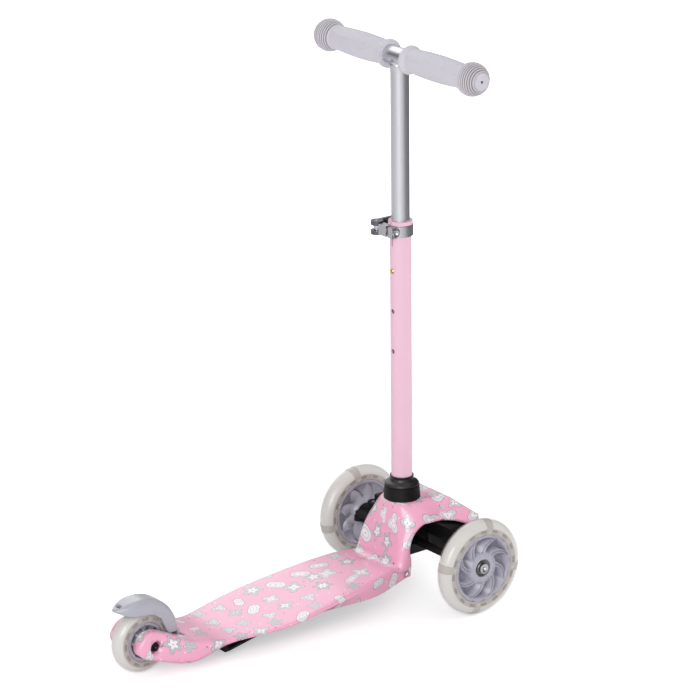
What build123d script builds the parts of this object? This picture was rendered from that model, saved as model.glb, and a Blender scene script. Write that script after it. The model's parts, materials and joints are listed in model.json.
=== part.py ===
"""Three-wheeled kick scooter with lean steering, a height-adjustable T-bar and a rear fender brake.

Millimetres. +X is forward, +Y is the rider's left, +Z is up. The origin is on the floor, midway
between the foremost and the rearmost points of the tyres.
"""
import os
from collections import namedtuple
from math import cos, pi, radians, sin, tan

from build123d import *

# Wheels
WHEELBASE = 408.0
TRACK = 230.0
FRONT_TYRE_R = 60.0
REAR_TYRE_R = 40.0
TYRE_WIDTH = 24.0
TYRE_SHOULDER = 10.0
TYRE_FACE_TAPER = 2.0
FRONT_RIM_R = 41.7
REAR_RIM_R = 23.6
RIM_WALL = 3.6
RIM_INSET = 2.0
HUB_BOSS_WALL = 4.0
HUB_BOSS_INSET = 0.5
HUB_BOSS_LIP = 1.5
HUB_DISC_R = 19.5
HUB_DISH = 2.0
POCKET_WALL = 3.0
SPOKES = 8
SPOKE_WIDTH = 5.8
SPOKE_GAP = 2.6
SPOKE_GROOVE = 2.0
SPOKE_ROOF = 2.5
SPOKE_SWIRL = -34.0
SWIRL_EASE = 0.36
REAR_SPOKE_WALL = 3.0
REAR_SPOKES = 8
LUGS = 16
REAR_LUGS = 12
LUG_HEIGHT = 6.0
LUG_LENGTH = 8.0
LUG_WIDTH = 9.0
LED_MODULES = 4
LED_LENGTH = 6.0
LED_WIDTH = 14.0
LED_HEIGHT = 4.0
BEARING_R = 11.0
BEARING_BORE_R = 4.0
BEARING_WIDTH = 7.0
BEARING_INSET = 4.5
BEARING_RACE = 2.0
BEARING_STEP = 0.5

# Steering front end
STEM_SETBACK = 24.0
LEAN_PIVOT_Z = 98.0
LEAN_ARM = 19.5
LEAN_PIN_R = 4.0
LEAN_EYE_R = 11.0
KINGPIN_Y = 84.0
KINGPIN_R = 4.0
KINGPIN_HEAD_R = 6.5
KINGPIN_HEAD = 3.5
KNUCKLE_BARREL_R = 9.0
KNUCKLE_HEIGHT = 28.0
KNUCKLE_BOSS_R = 13.0
STEER_ARM_WIDTH = 10.0
STEER_ARM_HEIGHT = 6.0
STEER_ARM_RISE = 8.4
STEER_ARM_PAD = 1.5
TIE_ROD_WIDTH = 10.0
TIE_ROD_HEIGHT = 5.0
TIE_ROD_ROOM = 2.0
TIE_PIN_R = 2.5
TIE_PIN_PLAY = 0.7
DRIVE_PIN_R = 3.0
DRIVE_PIN_PLAY = 0.7
DRIVE_PIN_DEPTH = 5.0
COLUMN_CHEEK = 4.0
COLUMN_FOOT_X = 10.0
AXLE_HEAD_R = 6.0
AXLE_HEAD = 4.0
AXLE_NUT = 5.0
AXLE_TAIL = 5.5
AXLE_SPACER_WALL = 2.0
AXLE_ROOT = 1.5
YOKE_EAR = 6.5
CARRIER_HALF_WIDTH = 26.0
CARRIER_WALL = 5.0
CARRIER_EAR = 6.5
CARRIER_CLEARANCE_Z = 54.0
CARRIER_BEAM_Z = (78.0, 96.0)
CARRIER_BEAM_DEPTH = 18.0
CARRIER_SKIRT = 3.5
CARRIER_SKIRT_HALF_WIDTH = 70.0
CARRIER_TONGUE = 6.0
TONGUE_DROP = 3.0
CARRIER_TONGUE_LENGTH = 44.0
CARRIER_TONGUE_HALF_WIDTH = 25.0
BUMPER_R = 6.0
BUMPER_DROP = 16.0

# Deck and hood
DECK_WALL = 3.5
DECK_EDGE_R = 5.0
HOOD_TOP = 120.0
HOOD_REAR_BASE = 44.0
HOOD_HALF_WIDTH = 45.0
HOOD_SEAT_R = 23.5
ARCH_SETBACK = 22.5
ARCH_TOP = 98.0
ARCH_LENGTH = 20.5
ARCH_RISE = 38.0
WING_TIP_Y = 84.0
WING_KNEE = 1.6
FORK_SLOT_HALF = 18.0
FORK_SLOT_GAP = 57.0
FORK_NOTCH_GAP = 50.5
FORK_RECESS_R = 8.4
FORK_RECESS_FLOOR_Y = 24.5
TRAY_HALF_WIDTH = 34.0
TRAY_WALL = 3.0
TRAY_Z = 26.0
TRAY_FRONT = 105.0
TRAY_BEND = -20.0
TRAY_TAIL = -120.0
TRAY_TAIL_Z = 8.5
SCREW_R = 2.0
SCREW_HEAD_R = 3.8
SCREW_HEAD = 2.0
SCREW_BOSS_R = 5.0
TRAY_SCREW_LENGTH = 5.0
TONGUE_SCREW_LENGTH = 8.0
TRAY_SCREW_X = (-5.0, 45.0, 92.0)
TRAY_SCREW_Y = 22.0
TONGUE_SCREW_X = (114.0, 132.0)
TONGUE_SCREW_Y = 16.0

# Collar, boot and stem
COLLAR_BASE_R = 22.2
COLLAR_TOP_R = 21.1
COLLAR_BORE_R = 19.9
COLLAR_HEIGHT = 16.0
BOOT_HEIGHT = 12.2
BOOT_BEAD_R = 20.6
BOOT_WALL = 1.1
BOOT_LIP = 0.5
BOOT_LIP_HEIGHT = 2.0
STEM_R = 12.7
STEM_FOOT_Z = 110.0
STEM_TOP_Z = 468.5
STEM_RIM = 1.8
STEM_RIM_HEIGHT = 4.4
STEM_SLIT = 2.0
STEM_SLIT_LENGTH = 30.5
SPIGOT_TOP_Z = 165.0
STEM_PIN_R = 2.5
STEM_PIN_Z = 140.0

# T-bar and grips
BAR_Z = 665.0
BAR_TUBE_R = 11.0
BAR_WALL = 1.5
BAR_FOOT_Z = 280.0
BAR_HALF_LENGTH = 128.0
WELD_LEG = 8.0
WELD_FLARE = 1.6
GRIP_INNER_Y = 18.0
GRIP_FLANGE_R = 17.2
GRIP_FLANGE = 4.0
GRIP_ROOT_R = 14.2
GRIP_BELLY_R = 16.0
GRIP_NECK_R = 13.8
BALL_Y = 131.6
BALL_R = 19.75
BALL_FLAT_R = 10.0
BALL_GROOVES = 12
BALL_GROOVE = 0.8
BALL_GROOVE_START = -37.0
BALL_GROOVE_STEP = 8.5
GRIP_BELLY_Y = 62.0
VENT_R = 1.3
HEIGHT_STEP = 50.0
HEIGHT_HOLES = 3
BUTTON_Z = 407.4
BUTTON_R = 2.9
BUTTON_PROUD = 2.2
BUTTON_FLANGE_R = 4.0
BUTTON_FLANGE = 1.5
BUTTON_BACK = 1.0
SPRING_STRIP = 0.6
SPRING_WIDTH = 6.0
SPRING_DROP = 34.0
SPRING_ARM = 5.0
SPRING_REST = 1.5
FOOT_BUSH = 14.0
FOOT_BUSH_LIP = 2.0

# Quick-release clamp
CLAMP_Z = 457.0
CLAMP_HEIGHT = 13.0
CLAMP_WALL = 2.4
CLAMP_BOLT_X = 16.2
CLAMP_BOLT_R = 2.5
CLAMP_LUG_DEPTH = 8.6
CLAMP_LUG_INNER = 2.0
CLAMP_LUG_WIDTH = 7.5
CLAMP_HEAD_R = 4.4
CLAMP_HEAD = 3.5
LEVER_Y = 24.0
LEVER_CAM_R = 7.5
LEVER_PRONG = 5.0
LEVER_GAP = 6.4
LEVER_FORK = 10.5
LEVER_LENGTH = 36.0
LEVER_ARM = 5.0
LEVER_PIN_R = 2.0
LEVER_EYE_WALL = 1.5
LEVER_RELIEF = 1.0

# Rear fender brake
FENDER_R = 50.0
FENDER_SHIFT_X = -5.0
FENDER_RISE = 4.5
FENDER_WALL = 3.0
FENDER_HALF_WIDTH = 16.0
FENDER_CROWN = 4.0
FENDER_LEAD = 3.0
FENDER_SKIRT = 32.0
BRAKE_HINGE_X = 64.0
BRAKE_HINGE_Z = 22.0
BRAKE_BARREL_R = 5.5
BRAKE_PIN_R = 2.5
BRAKE_LUG = 5.0
BRAKE_LUG_GAP = 0.6
BRAKE_NOSE = 14.0
BRAKE_NOSE_END = 5.0
BRAKE_NOSE_HALF_WIDTH = 6.0
BRAKE_NOSE_WALL = 4.0
BRAKE_KNEE = 10.0
BRAKE_KNEE_STEP = 2.0
BRAKE_SHIN = 8.0
BRAKE_GAP = 5.0
PAD_WALL = 2.0
PAD_HALF_WIDTH = 9.0
PAD_AHEAD = 32.0
PAD_BEHIND = 10.0
PAD_BACKING = 14.0
RETURN_RUBBER_R = 4.0
RETURN_SEAT_RIM = 3.0
RETURN_SEAT_DROP = 1.0
FENDER_SLOT = (9.0, 4.0)

# Fits, how far a long cut runs past its piece, and how far fused shapes run into each other
REACH = 100.0
JOIN = 1.0
RUN_FIT = 0.05
SLIDE_FIT = 0.1
MOVE_GAP = 0.3

# Places worked out from the sizes above
X_FRONT = (WHEELBASE + REAR_TYRE_R - FRONT_TYRE_R) / 2
X_REAR = X_FRONT - WHEELBASE
X_STEM = X_FRONT - STEM_SETBACK
WHEEL_Y = TRACK / 2
AXLE_Z = FRONT_TYRE_R
KNUCKLE_FACE_Y = WHEEL_Y - TYRE_WIDTH / 2 - MOVE_GAP
STEER_ARM_TOP = AXLE_Z + STEER_ARM_RISE
TIE_ROD_Z = STEER_ARM_TOP + MOVE_GAP
DRIVE_PIN_TOP = LEAN_PIVOT_Z - LEAN_ARM + DRIVE_PIN_DEPTH / 2
COLUMN_HALF_X = LEAN_PIN_R * 3 + JOIN
CARRIER_REAR = X_STEM - COLUMN_HALF_X - MOVE_GAP - CARRIER_EAR
CARRIER_FRONT = X_STEM + COLUMN_HALF_X + MOVE_GAP + CARRIER_EAR
BAR_BORE_R = BAR_TUBE_R - BAR_WALL
STEM_BORE_R = BAR_TUBE_R + SLIDE_FIT
COLLAR_Z = HOOD_TOP
BOOT_Z = COLLAR_Z + COLLAR_HEIGHT
FORK_SLOT_END = X_REAR + FORK_SLOT_GAP
HINGE_X = X_REAR + BRAKE_HINGE_X
TRAY_TOP = TRAY_Z + TRAY_WALL

# Deck sections from tail to hood: place, half width and height of the top edge, then of the lip
Station = namedtuple("Station", "x half_width top lip_half_width lip")
DECK = [
    Station(X_REAR - 22.5, 30.0, 46.0, 30.0, 37.5),
    Station(X_REAR - 17.5, 31.5, 52.5, 31.5, 31.0),
    Station(X_REAR - 5.0, 32.0, 59.0, 32.0, 25.5),
    Station(X_REAR + 7.0, 32.5, 56.5, 32.5, 21.0),
    Station(X_REAR + 20.0, 34.5, 50.5, 34.5, 16.5),
    Station(X_REAR + 36.0, 39.0, 42.5, 37.5, 12.5),
    Station(X_REAR + 56.0, 43.0, 36.0, 40.0, 13.0),
    Station(X_REAR + 78.0, 44.5, 31.2, 40.0, 18.0),
    Station(X_REAR + 102.0, 48.5, 29.0, 38.0, 19.5),
    Station(X_STEM - 240.0, 58.0, 31.0, 42.0, 22.0),
    Station(X_STEM - 180.0, 62.0, 37.3, 45.0, 25.5),
    Station(X_STEM - 126.0, 57.5, 44.4, 48.0, 26.5),
    Station(X_STEM - 80.0, 52.0, 49.0, 48.0, 25.5),
    Station(X_STEM - 46.0, 45.0, 50.4, 43.5, 30.0),
    Station(X_STEM - ARCH_SETBACK + JOIN, 45.0, 51.0, 44.0, 36.0),
]
# Fender tail from the arch to the tip: place, share of the width, drop of the top, rise of the edge
Beak = namedtuple("Beak", "x width drop rise")
BEAK = [
    Beak(0.0, 1.0, 0.2, 0.0),
    Beak(-12.0, 0.92, 1.2, 1.0),
    Beak(-21.0, 0.62, 4.5, 4.0),
    Beak(-28.5, 0.2, 8.2, 7.5),
]
# Fender's lower edge from the tail to the leg: place and height from the fender's centre
FENDER_HEM = [(14.0, 29.0), (24.0, 21.0), (31.0, 4.0), (34.0, 0.0)]
# Crowned edge of the fender: drop in crowns, share of the width, inset in crowns
FENDER_EDGE = [(3.0, 1.0, 0.0), (1.2, 1.0, 1 / 3), (0.25, 0.62, 0.0)]
# Boot from its bead to its neck: distance inside the bead and height
BOOT = [(0.3, 0.0), (0.0, 0.9), (0.0, 2.0), (1.0, 3.4), (3.4, 4.7), (5.7, 6.2), (6.5, 8.2)]
BOOT_INSIDE = (2.0, 5.4)
# Hood sections from deck to collar: height, rear face behind the stem, half width, rear corner
Level = namedtuple("Level", "z rear half_width corner")
HOOD = [
    Level(44.0, HOOD_REAR_BASE, HOOD_HALF_WIDTH - 1.0, 8.0),
    Level(60.0, HOOD_REAR_BASE - 6.5, HOOD_HALF_WIDTH, 12.0),
    Level(86.0, HOOD_REAR_BASE - 14.0, HOOD_HALF_WIDTH + 1.0, 22.0),
    Level(100.0, HOOD_REAR_BASE - 17.5, HOOD_HALF_WIDTH + 1.0, 34.0),
    Level(HOOD_TOP - 7.0, HOOD_SEAT_R + 1.0, HOOD_HALF_WIDTH - 7.0, 34.0),
    Level(HOOD_TOP, HOOD_SEAT_R, HOOD_SEAT_R, HOOD_SEAT_R - 0.5),
]
# Wing sections from the middle to the tip: place, rear lip, crest and front hem from the front axle
Rib = namedtuple("Rib", "y lip_x lip_z crest_x crest_z hem_x hem_z")
WING = [
    Rib(0.0, -30.0, 106.0, 20.0, 119.5, 21.0, 66.0),
    Rib(30.0, -26.0, 105.0, 20.0, 119.3, 21.0, 66.0),
    Rib(42.0, -9.0, 100.0, 20.0, 118.8, 21.0, 67.0),
    Rib(50.0, -3.0, 102.0, 20.0, 117.8, 21.0, 68.0),
    Rib(60.0, 4.0, 103.5, 21.0, 115.8, 22.0, 70.0),
    Rib(74.0, 13.0, 102.0, 23.5, 112.6, 25.0, 76.0),
    Rib(WING_TIP_Y, 21.0, 100.0, 26.0, 110.0, 27.5, 86.0),
]


def block(x0, x1, y0, y1, z0, z1):
    """Box between two corners."""
    return Pos((x0 + x1) / 2, (y0 + y1) / 2, (z0 + z1) / 2) * Box(x1 - x0, y1 - y0, z1 - z0)


def rod_x(radius, x0, x1, y, z):
    return Pos((x0 + x1) / 2, y, z) * Rot(0, 90, 0) * Cylinder(radius, x1 - x0)


def rod_y(radius, x, y0, y1, z):
    return Pos(x, (y0 + y1) / 2, z) * Rot(90, 0, 0) * Cylinder(radius, y1 - y0)


def rod_z(radius, x, y, z0, z1):
    return Pos(x, y, (z0 + z1) / 2) * Cylinder(radius, z1 - z0)


def hex_y(radius, x, y0, y1, z):
    """Hexagon bar along Y."""
    face = Plane((x, y0, z), x_dir=(1, 0, 0), z_dir=(0, 1, 0)) * RegularPolygon(radius, 6)
    return extrude(face, y1 - y0)


def side_plate(points, y0, y1):
    """Polygon in the XZ plane with thickness along Y."""
    face = make_face(Polyline(*[(x, y0, z) for x, z in points], close=True))
    return extrude(face, y1 - y0, dir=(0, 1, 0))


def mirrored(shape):
    """The piece on the rider's right, mirrored from the one on the left."""
    return mirror(shape, about=Plane.XZ)


def both_sides(shape):
    return Part() + [shape, mirrored(shape)]


def turned(points):
    """Solid of revolution about Y from radius and Y pairs."""
    face = make_face(Polyline(*[(r, y, 0) for r, y in points], close=True))
    return revolve(face, Axis.Y)


def deck_wire(s, inset=0.0, open_below=0.0):
    """Deck section: flat top with round edges, sides that draw in to the lip and, if open, go on down."""
    half, top = s.half_width - inset, s.top - inset
    r = min(DECK_EDGE_R, (top - s.lip) / 3)
    k = r * (1 - cos(pi / 4))
    lip_half = s.lip_half_width - inset
    edge = [(lip_half, s.lip), (half, top - r), (half - k, top - k), (half - r, top)]
    edge.append((lip_half, s.lip - open_below))
    p = [(s.x, y, z) for y, z in edge]
    q = [(s.x, -y, z) for y, z in edge]
    below = [Line(q[0], q[4]), Line(q[4], p[4]), Line(p[4], p[0])] if open_below else [Line(q[0], p[0])]
    return Wire([
        Line(p[0], p[1]), ThreePointArc(p[1], p[2], p[3]), Line(p[3], q[3]),
        ThreePointArc(q[3], q[2], q[1]), Line(q[1], q[0]), *below,
    ])


def hood_wire(level, inset, z):
    """Hood section at height z: round corners behind the stem, straight across the nose."""
    x0, x1 = X_STEM - level.rear + inset, X_FRONT + WING[0].crest_x - JOIN - inset
    half, r = level.half_width - inset, level.corner - inset
    k = r * (1 - cos(pi / 4))
    return Wire([
        Line((x0, half - r, z), (x0, r - half, z)),
        ThreePointArc((x0, r - half, z), (x0 + k, k - half, z), (x0 + r, -half, z)),
        Line((x0 + r, -half, z), (x1, -half, z)),
        Line((x1, -half, z), (x1, half, z)),
        Line((x1, half, z), (x0 + r, half, z)),
        ThreePointArc((x0 + r, half, z), (x0 + k, half - k, z), (x0, half - r, z)),
    ])


def wing_wire(rib, side):
    """Wing section: a top plate that rises to the crest, and a front hem below it."""
    x = [X_FRONT + v for v in (rib.lip_x, rib.crest_x, rib.hem_x)]
    t = DECK_WALL
    points = [
        (x[0], rib.lip_z), (x[1], rib.crest_z), (x[2], rib.hem_z),
        (x[2] - t, rib.hem_z), (x[1] - t / 2, rib.crest_z - t * WING_KNEE), (x[0], rib.lip_z - t),
    ]
    return Wire.make_polygon([(px, side * rib.y, pz) for px, pz in points])


def deck_shell():
    """Moulded deck, fork, hood and wings in one skin, open below."""
    body = Solid.make_loft([deck_wire(s) for s in DECK])
    cavity = [s for s in DECK if s.x > FORK_SLOT_END - 2 * JOIN]
    hollow = Solid.make_loft([deck_wire(s, DECK_WALL, REACH) for s in cavity])
    hood = Solid.make_loft([hood_wire(h, 0, h.z) for h in HOOD])
    levels = [h.z - DECK_WALL for h in HOOD]
    levels[0] -= 2 * DECK_WALL
    hood_hollow = Solid.make_loft([hood_wire(h, DECK_WALL, z) for h, z in zip(HOOD, levels)])
    arch_x, nose_x, spring_z = X_STEM - ARCH_SETBACK, X_FRONT + FRONT_TYRE_R, ARCH_TOP - ARCH_RISE
    haunch = (arch_x + ARCH_LENGTH * (1 - cos(pi / 4)), spring_z + ARCH_RISE * sin(pi / 4))
    foot, spring, crown = (arch_x, 0), (arch_x, spring_z), (arch_x + ARCH_LENGTH, ARCH_TOP)
    arch = Plane.XZ * make_face([
        Line(foot, spring), ThreePointArc(spring, haunch, crown), Line(crown, (nose_x, ARCH_TOP)),
        Line((nose_x, ARCH_TOP), (nose_x, 0)), Line((nose_x, 0), foot),
    ])
    arch = extrude(arch, WING_TIP_Y, both=True)
    ribs = [wing_wire(r, -1) for r in reversed(WING[1:])] + [wing_wire(r, 1) for r in WING]
    ear_room = block(CARRIER_REAR - JOIN, CARRIER_FRONT + JOIN, -LEAN_EYE_R - JOIN, LEAN_EYE_R + JOIN,
                     CARRIER_CLEARANCE_Z, HOOD_TOP - DECK_WALL)
    shell = Part() + body + hood - hollow - hood_hollow - arch + Solid.make_loft(ribs) - ear_room
    shell -= rod_z(COLLAR_BORE_R, X_STEM, 0, CARRIER_CLEARANCE_Z, COLLAR_Z + COLLAR_HEIGHT)
    notch_end, skin = X_REAR + FORK_NOTCH_GAP, deck_top(FORK_SLOT_END) - DECK_WALL
    shell -= block(X_REAR - REACH, notch_end, -FORK_SLOT_HALF, FORK_SLOT_HALF, 0, REACH)
    shell -= block(X_REAR - REACH, FORK_SLOT_END, -FORK_SLOT_HALF, FORK_SLOT_HALF, 0, skin)
    shell -= rod_y(BEARING_BORE_R + RUN_FIT, X_REAR, -REACH, REACH, REAR_TYRE_R)
    shell -= both_sides(rod_y(FORK_RECESS_R, X_REAR, FORK_RECESS_FLOOR_Y, REACH, REAR_TYRE_R))
    for x, y in screw_places(TRAY_SCREW_X, TRAY_SCREW_Y):
        shell += rod_z(SCREW_BOSS_R, x, y, TRAY_TOP, deck_top(x) - DECK_WALL / 2)
        shell -= screw_hole(x, y, tray_screw_seat() + TRAY_SCREW_LENGTH)
    for x, y in screw_places(TONGUE_SCREW_X, TONGUE_SCREW_Y):
        shell += rod_z(SCREW_BOSS_R, x, y, tongue_top(), deck_top(x) - DECK_WALL / 2)
        shell -= screw_hole(x, y, tongue_screw_seat() + TONGUE_SCREW_LENGTH)
    shell += both_sides(brake_lug())
    x, pad = HINGE_X + BRAKE_NOSE, RETURN_RUBBER_R + RETURN_SEAT_RIM
    shell += block(x - pad, x + pad, -pad, pad, return_seat_z(), deck_top(x) - DECK_WALL / 2)
    return shell


def deck_top(x):
    """Height of the deck between the two sections around x."""
    after = next(i for i, s in enumerate(DECK) if s.x >= x)
    a, b = DECK[after - 1], DECK[after]
    return a.top + (b.top - a.top) * (x - a.x) / (b.x - a.x)


def tongue_top():
    return deck_top(X_STEM - HOOD_REAR_BASE) - DECK_WALL - TONGUE_DROP


def return_seat_z():
    return deck_top(HINGE_X + BRAKE_NOSE) - DECK_WALL - RETURN_SEAT_DROP


def screw_places(xs, y):
    return [(x, side * y) for x in xs for side in (-1, 1)]


def tray_screw_seat():
    return TRAY_Z + SCREW_HEAD


def tongue_screw_seat():
    return tongue_top() - CARRIER_TONGUE


def screw_hole(x, y, top):
    return rod_z(SCREW_R + RUN_FIT, x, y, 0, top + RUN_FIT)


def screw(x, y, seat, length):
    """Pan-head screw driven up from below."""
    shank = rod_z(SCREW_R, x, y, seat, seat + length)
    return shank + rod_z(SCREW_HEAD_R, x, y, seat - SCREW_HEAD, seat)


def brake_lug():
    """Ear under the deck that carries one end of the brake hinge pin."""
    y0, r = brake_leg_half_width() + BRAKE_LUG_GAP, BRAKE_BARREL_R
    top = deck_top(HINGE_X) - DECK_WALL / 2
    ear = block(HINGE_X - r, HINGE_X + r, y0, y0 + BRAKE_LUG, BRAKE_HINGE_Z - r, top)
    return ear - rod_y(BRAKE_PIN_R, HINGE_X, 0, REACH, BRAKE_HINGE_Z)


def brake_leg_half_width():
    return FENDER_HALF_WIDTH - FENDER_WALL


def under_tray():
    """Black belly plate, flat at the front and dropping to a closed tail."""
    w, x, z = TRAY_WALL, TRAY_TAIL, TRAY_TAIL_Z
    plate = side_plate([
        (TRAY_FRONT, TRAY_Z), (TRAY_BEND, TRAY_Z), (x + 2 * w, z), (x, z), (x, z + 3 * w),
        (x + w, z + 3 * w), (x + w, z + w), (x + 2 * w, z + w), (TRAY_BEND, TRAY_TOP), (TRAY_FRONT, TRAY_TOP),
    ], -TRAY_HALF_WIDTH, TRAY_HALF_WIDTH)
    for x, y in screw_places(TRAY_SCREW_X, TRAY_SCREW_Y):
        plate -= rod_z(SCREW_R + RUN_FIT, x, y, 0, TRAY_TOP)
        plate -= rod_z(SCREW_HEAD_R + SLIDE_FIT, x, y, 0, tray_screw_seat())
    return plate


def tray_screws():
    places = screw_places(TRAY_SCREW_X, TRAY_SCREW_Y)
    return Compound([screw(x, y, tray_screw_seat(), TRAY_SCREW_LENGTH) for x, y in places])


def tongue_screws():
    places = screw_places(TONGUE_SCREW_X, TONGUE_SCREW_Y)
    return Compound([screw(x, y, tongue_screw_seat(), TONGUE_SCREW_LENGTH) for x, y in places])


def front_carrier():
    """Axle carrier under the hood: lean pivot box, side beams and the kingpin yokes."""
    half, wall = CARRIER_HALF_WIDTH, CARRIER_WALL
    inner_x = COLUMN_HALF_X + MOVE_GAP
    top = CARRIER_BEAM_Z[1]
    box = block(CARRIER_REAR, CARRIER_FRONT, -half, half, CARRIER_CLEARANCE_Z, top)
    box -= block(X_STEM - inner_x, X_STEM + inner_x, wall - half, half - wall, 0, top)
    for x0 in (CARRIER_REAR, CARRIER_FRONT - CARRIER_EAR):
        box += rod_x(LEAN_EYE_R, x0, x0 + CARRIER_EAR, 0, LEAN_PIVOT_Z)
    window = TIE_ROD_WIDTH / 2 + TIE_ROD_ROOM
    low, high = TIE_ROD_Z - TIE_ROD_ROOM, TIE_ROD_Z + TIE_ROD_HEIGHT + TIE_ROD_ROOM
    box -= block(X_STEM - window, X_STEM + window, -half, half, low, high)
    skirt_x = X_FRONT + CARRIER_BEAM_DEPTH / 2
    skirt = block(skirt_x - CARRIER_SKIRT, skirt_x, -CARRIER_SKIRT_HALF_WIDTH, CARRIER_SKIRT_HALF_WIDTH,
                  CARRIER_CLEARANCE_Z, CARRIER_BEAM_Z[1])
    nose = block(CARRIER_FRONT - JOIN, skirt_x, -half, half, CARRIER_BEAM_Z[0], CARRIER_BEAM_Z[1])
    z1 = tongue_top()
    z0, wide = z1 - CARRIER_TONGUE, CARRIER_TONGUE_HALF_WIDTH
    tongue = block(CARRIER_REAR - CARRIER_TONGUE_LENGTH, CARRIER_REAR + JOIN, -wide, wide, z0, z1)
    heel = block(CARRIER_REAR - JOIN, CARRIER_REAR + CARRIER_EAR, -wide, wide, z0, CARRIER_CLEARANCE_Z + JOIN)
    for x, y in screw_places(TONGUE_SCREW_X, TONGUE_SCREW_Y):
        tongue -= rod_z(SCREW_R + RUN_FIT, x, y, 0, z1)
    carrier = Part() + box + skirt + nose + tongue + heel + both_sides(carrier_arm())
    return carrier - rod_x(LEAN_PIN_R, CARRIER_REAR - JOIN, CARRIER_FRONT + JOIN, 0, LEAN_PIVOT_Z)


def carrier_arm():
    """Left beam and the C-shaped yoke that holds the kingpin above and below the knuckle."""
    x0, x1 = X_FRONT - CARRIER_BEAM_DEPTH / 2, X_FRONT + CARRIER_BEAM_DEPTH / 2
    wall_y = KINGPIN_Y - KNUCKLE_BARREL_R - TIE_ROD_ROOM
    low = AXLE_Z - KNUCKLE_HEIGHT / 2 - MOVE_GAP
    high = AXLE_Z + KNUCKLE_HEIGHT / 2 + MOVE_GAP
    beam = block(x0, x1, CARRIER_HALF_WIDTH - JOIN, wall_y, *CARRIER_BEAM_Z)
    web = block(x0, x1, wall_y - YOKE_EAR, wall_y, low - YOKE_EAR, CARRIER_BEAM_Z[1])
    arm = beam + web
    for z0 in (low - YOKE_EAR, high):
        arm += block(x0, x1, wall_y - JOIN, KINGPIN_Y, z0, z0 + YOKE_EAR)
        arm += rod_z(CARRIER_BEAM_DEPTH / 2, X_FRONT, KINGPIN_Y, z0, z0 + YOKE_EAR)
    return arm - rod_z(KINGPIN_R, X_FRONT, KINGPIN_Y, low - YOKE_EAR - JOIN, high + YOKE_EAR + JOIN)


def kingpins():
    """Two headed steering pins, driven up through the yokes."""
    low = AXLE_Z - KNUCKLE_HEIGHT / 2 - MOVE_GAP - YOKE_EAR
    high = AXLE_Z + KNUCKLE_HEIGHT / 2 + MOVE_GAP + YOKE_EAR
    pin = rod_z(KINGPIN_R, X_FRONT, KINGPIN_Y, low, high)
    pin += rod_z(KINGPIN_HEAD_R, X_FRONT, KINGPIN_Y, low - KINGPIN_HEAD, low)
    return Compound([pin, mirrored(pin)])


def lean_pivot_pin():
    return rod_x(LEAN_PIN_R, CARRIER_REAR, CARRIER_FRONT, 0, LEAN_PIVOT_Z)


def lean_bumpers():
    """Rubber blocks on the carrier's side walls that centre the column."""
    y1 = CARRIER_HALF_WIDTH - CARRIER_WALL
    bumper = rod_y(BUMPER_R, X_STEM, column_half_width() + MOVE_GAP, y1, LEAN_PIVOT_Z - BUMPER_DROP)
    return Compound([bumper, mirrored(bumper)])


def column_half_width():
    return DRIVE_PIN_R + DRIVE_PIN_PLAY + COLUMN_CHEEK


def steering_column():
    """Leaning base: pivot eye, spigot into the stem and the slot that drives the tie rod."""
    half_x, half_y = COLUMN_HALF_X, column_half_width()
    column = rod_x(LEAN_EYE_R, X_STEM - half_x, X_STEM + half_x, 0, LEAN_PIVOT_Z)
    column += rod_z(STEM_R, X_STEM, 0, LEAN_PIVOT_Z, STEM_FOOT_Z)
    column += rod_z(STEM_BORE_R - RUN_FIT, X_STEM, 0, LEAN_PIVOT_Z, SPIGOT_TOP_Z)
    foot = DRIVE_PIN_TOP - DRIVE_PIN_DEPTH
    column += block(X_STEM - COLUMN_FOOT_X, X_STEM + COLUMN_FOOT_X, -half_y, half_y, foot, LEAN_PIVOT_Z)
    slot = DRIVE_PIN_R + DRIVE_PIN_PLAY
    column -= block(X_STEM - slot, X_STEM + slot, -slot, slot, foot, DRIVE_PIN_TOP + DRIVE_PIN_PLAY)
    column -= rod_x(LEAN_PIN_R + RUN_FIT, X_STEM - REACH, X_STEM + REACH, 0, LEAN_PIVOT_Z)
    return column - rod_y(STEM_PIN_R, X_STEM, -REACH, REACH, STEM_PIN_Z)


def stem_tube():
    """Outer tube with a rolled rim: clamp slit and height holes face the rider."""
    tube = rod_z(STEM_R, X_STEM, 0, STEM_FOOT_Z, STEM_TOP_Z)
    tube += rod_z(STEM_R + STEM_RIM, X_STEM, 0, STEM_TOP_Z - STEM_RIM_HEIGHT, STEM_TOP_Z)
    tube -= rod_z(STEM_BORE_R, X_STEM, 0, STEM_FOOT_Z, STEM_TOP_Z)
    tube -= block(X_STEM - 2 * STEM_R, X_STEM, -STEM_SLIT / 2, STEM_SLIT / 2,
                  STEM_TOP_Z - STEM_SLIT_LENGTH, STEM_TOP_Z)
    for i in range(HEIGHT_HOLES):
        z = BUTTON_Z - i * HEIGHT_STEP
        tube -= rod_x(BUTTON_R + SLIDE_FIT, X_STEM - 2 * STEM_R, X_STEM, 0, z)
    return tube - rod_y(STEM_PIN_R, X_STEM, -REACH, REACH, STEM_PIN_Z)


def stem_lock_pin():
    length = STEM_R - MOVE_GAP
    return rod_y(STEM_PIN_R, X_STEM, -length, length, STEM_PIN_Z)


def collar_ring():
    """Ring on the hood that the stem leans inside."""
    ring = Pos(X_STEM, 0, COLLAR_Z + COLLAR_HEIGHT / 2) * Cone(COLLAR_BASE_R, COLLAR_TOP_R, COLLAR_HEIGHT)
    return ring - rod_z(COLLAR_BORE_R, X_STEM, 0, COLLAR_Z, BOOT_Z)


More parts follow.
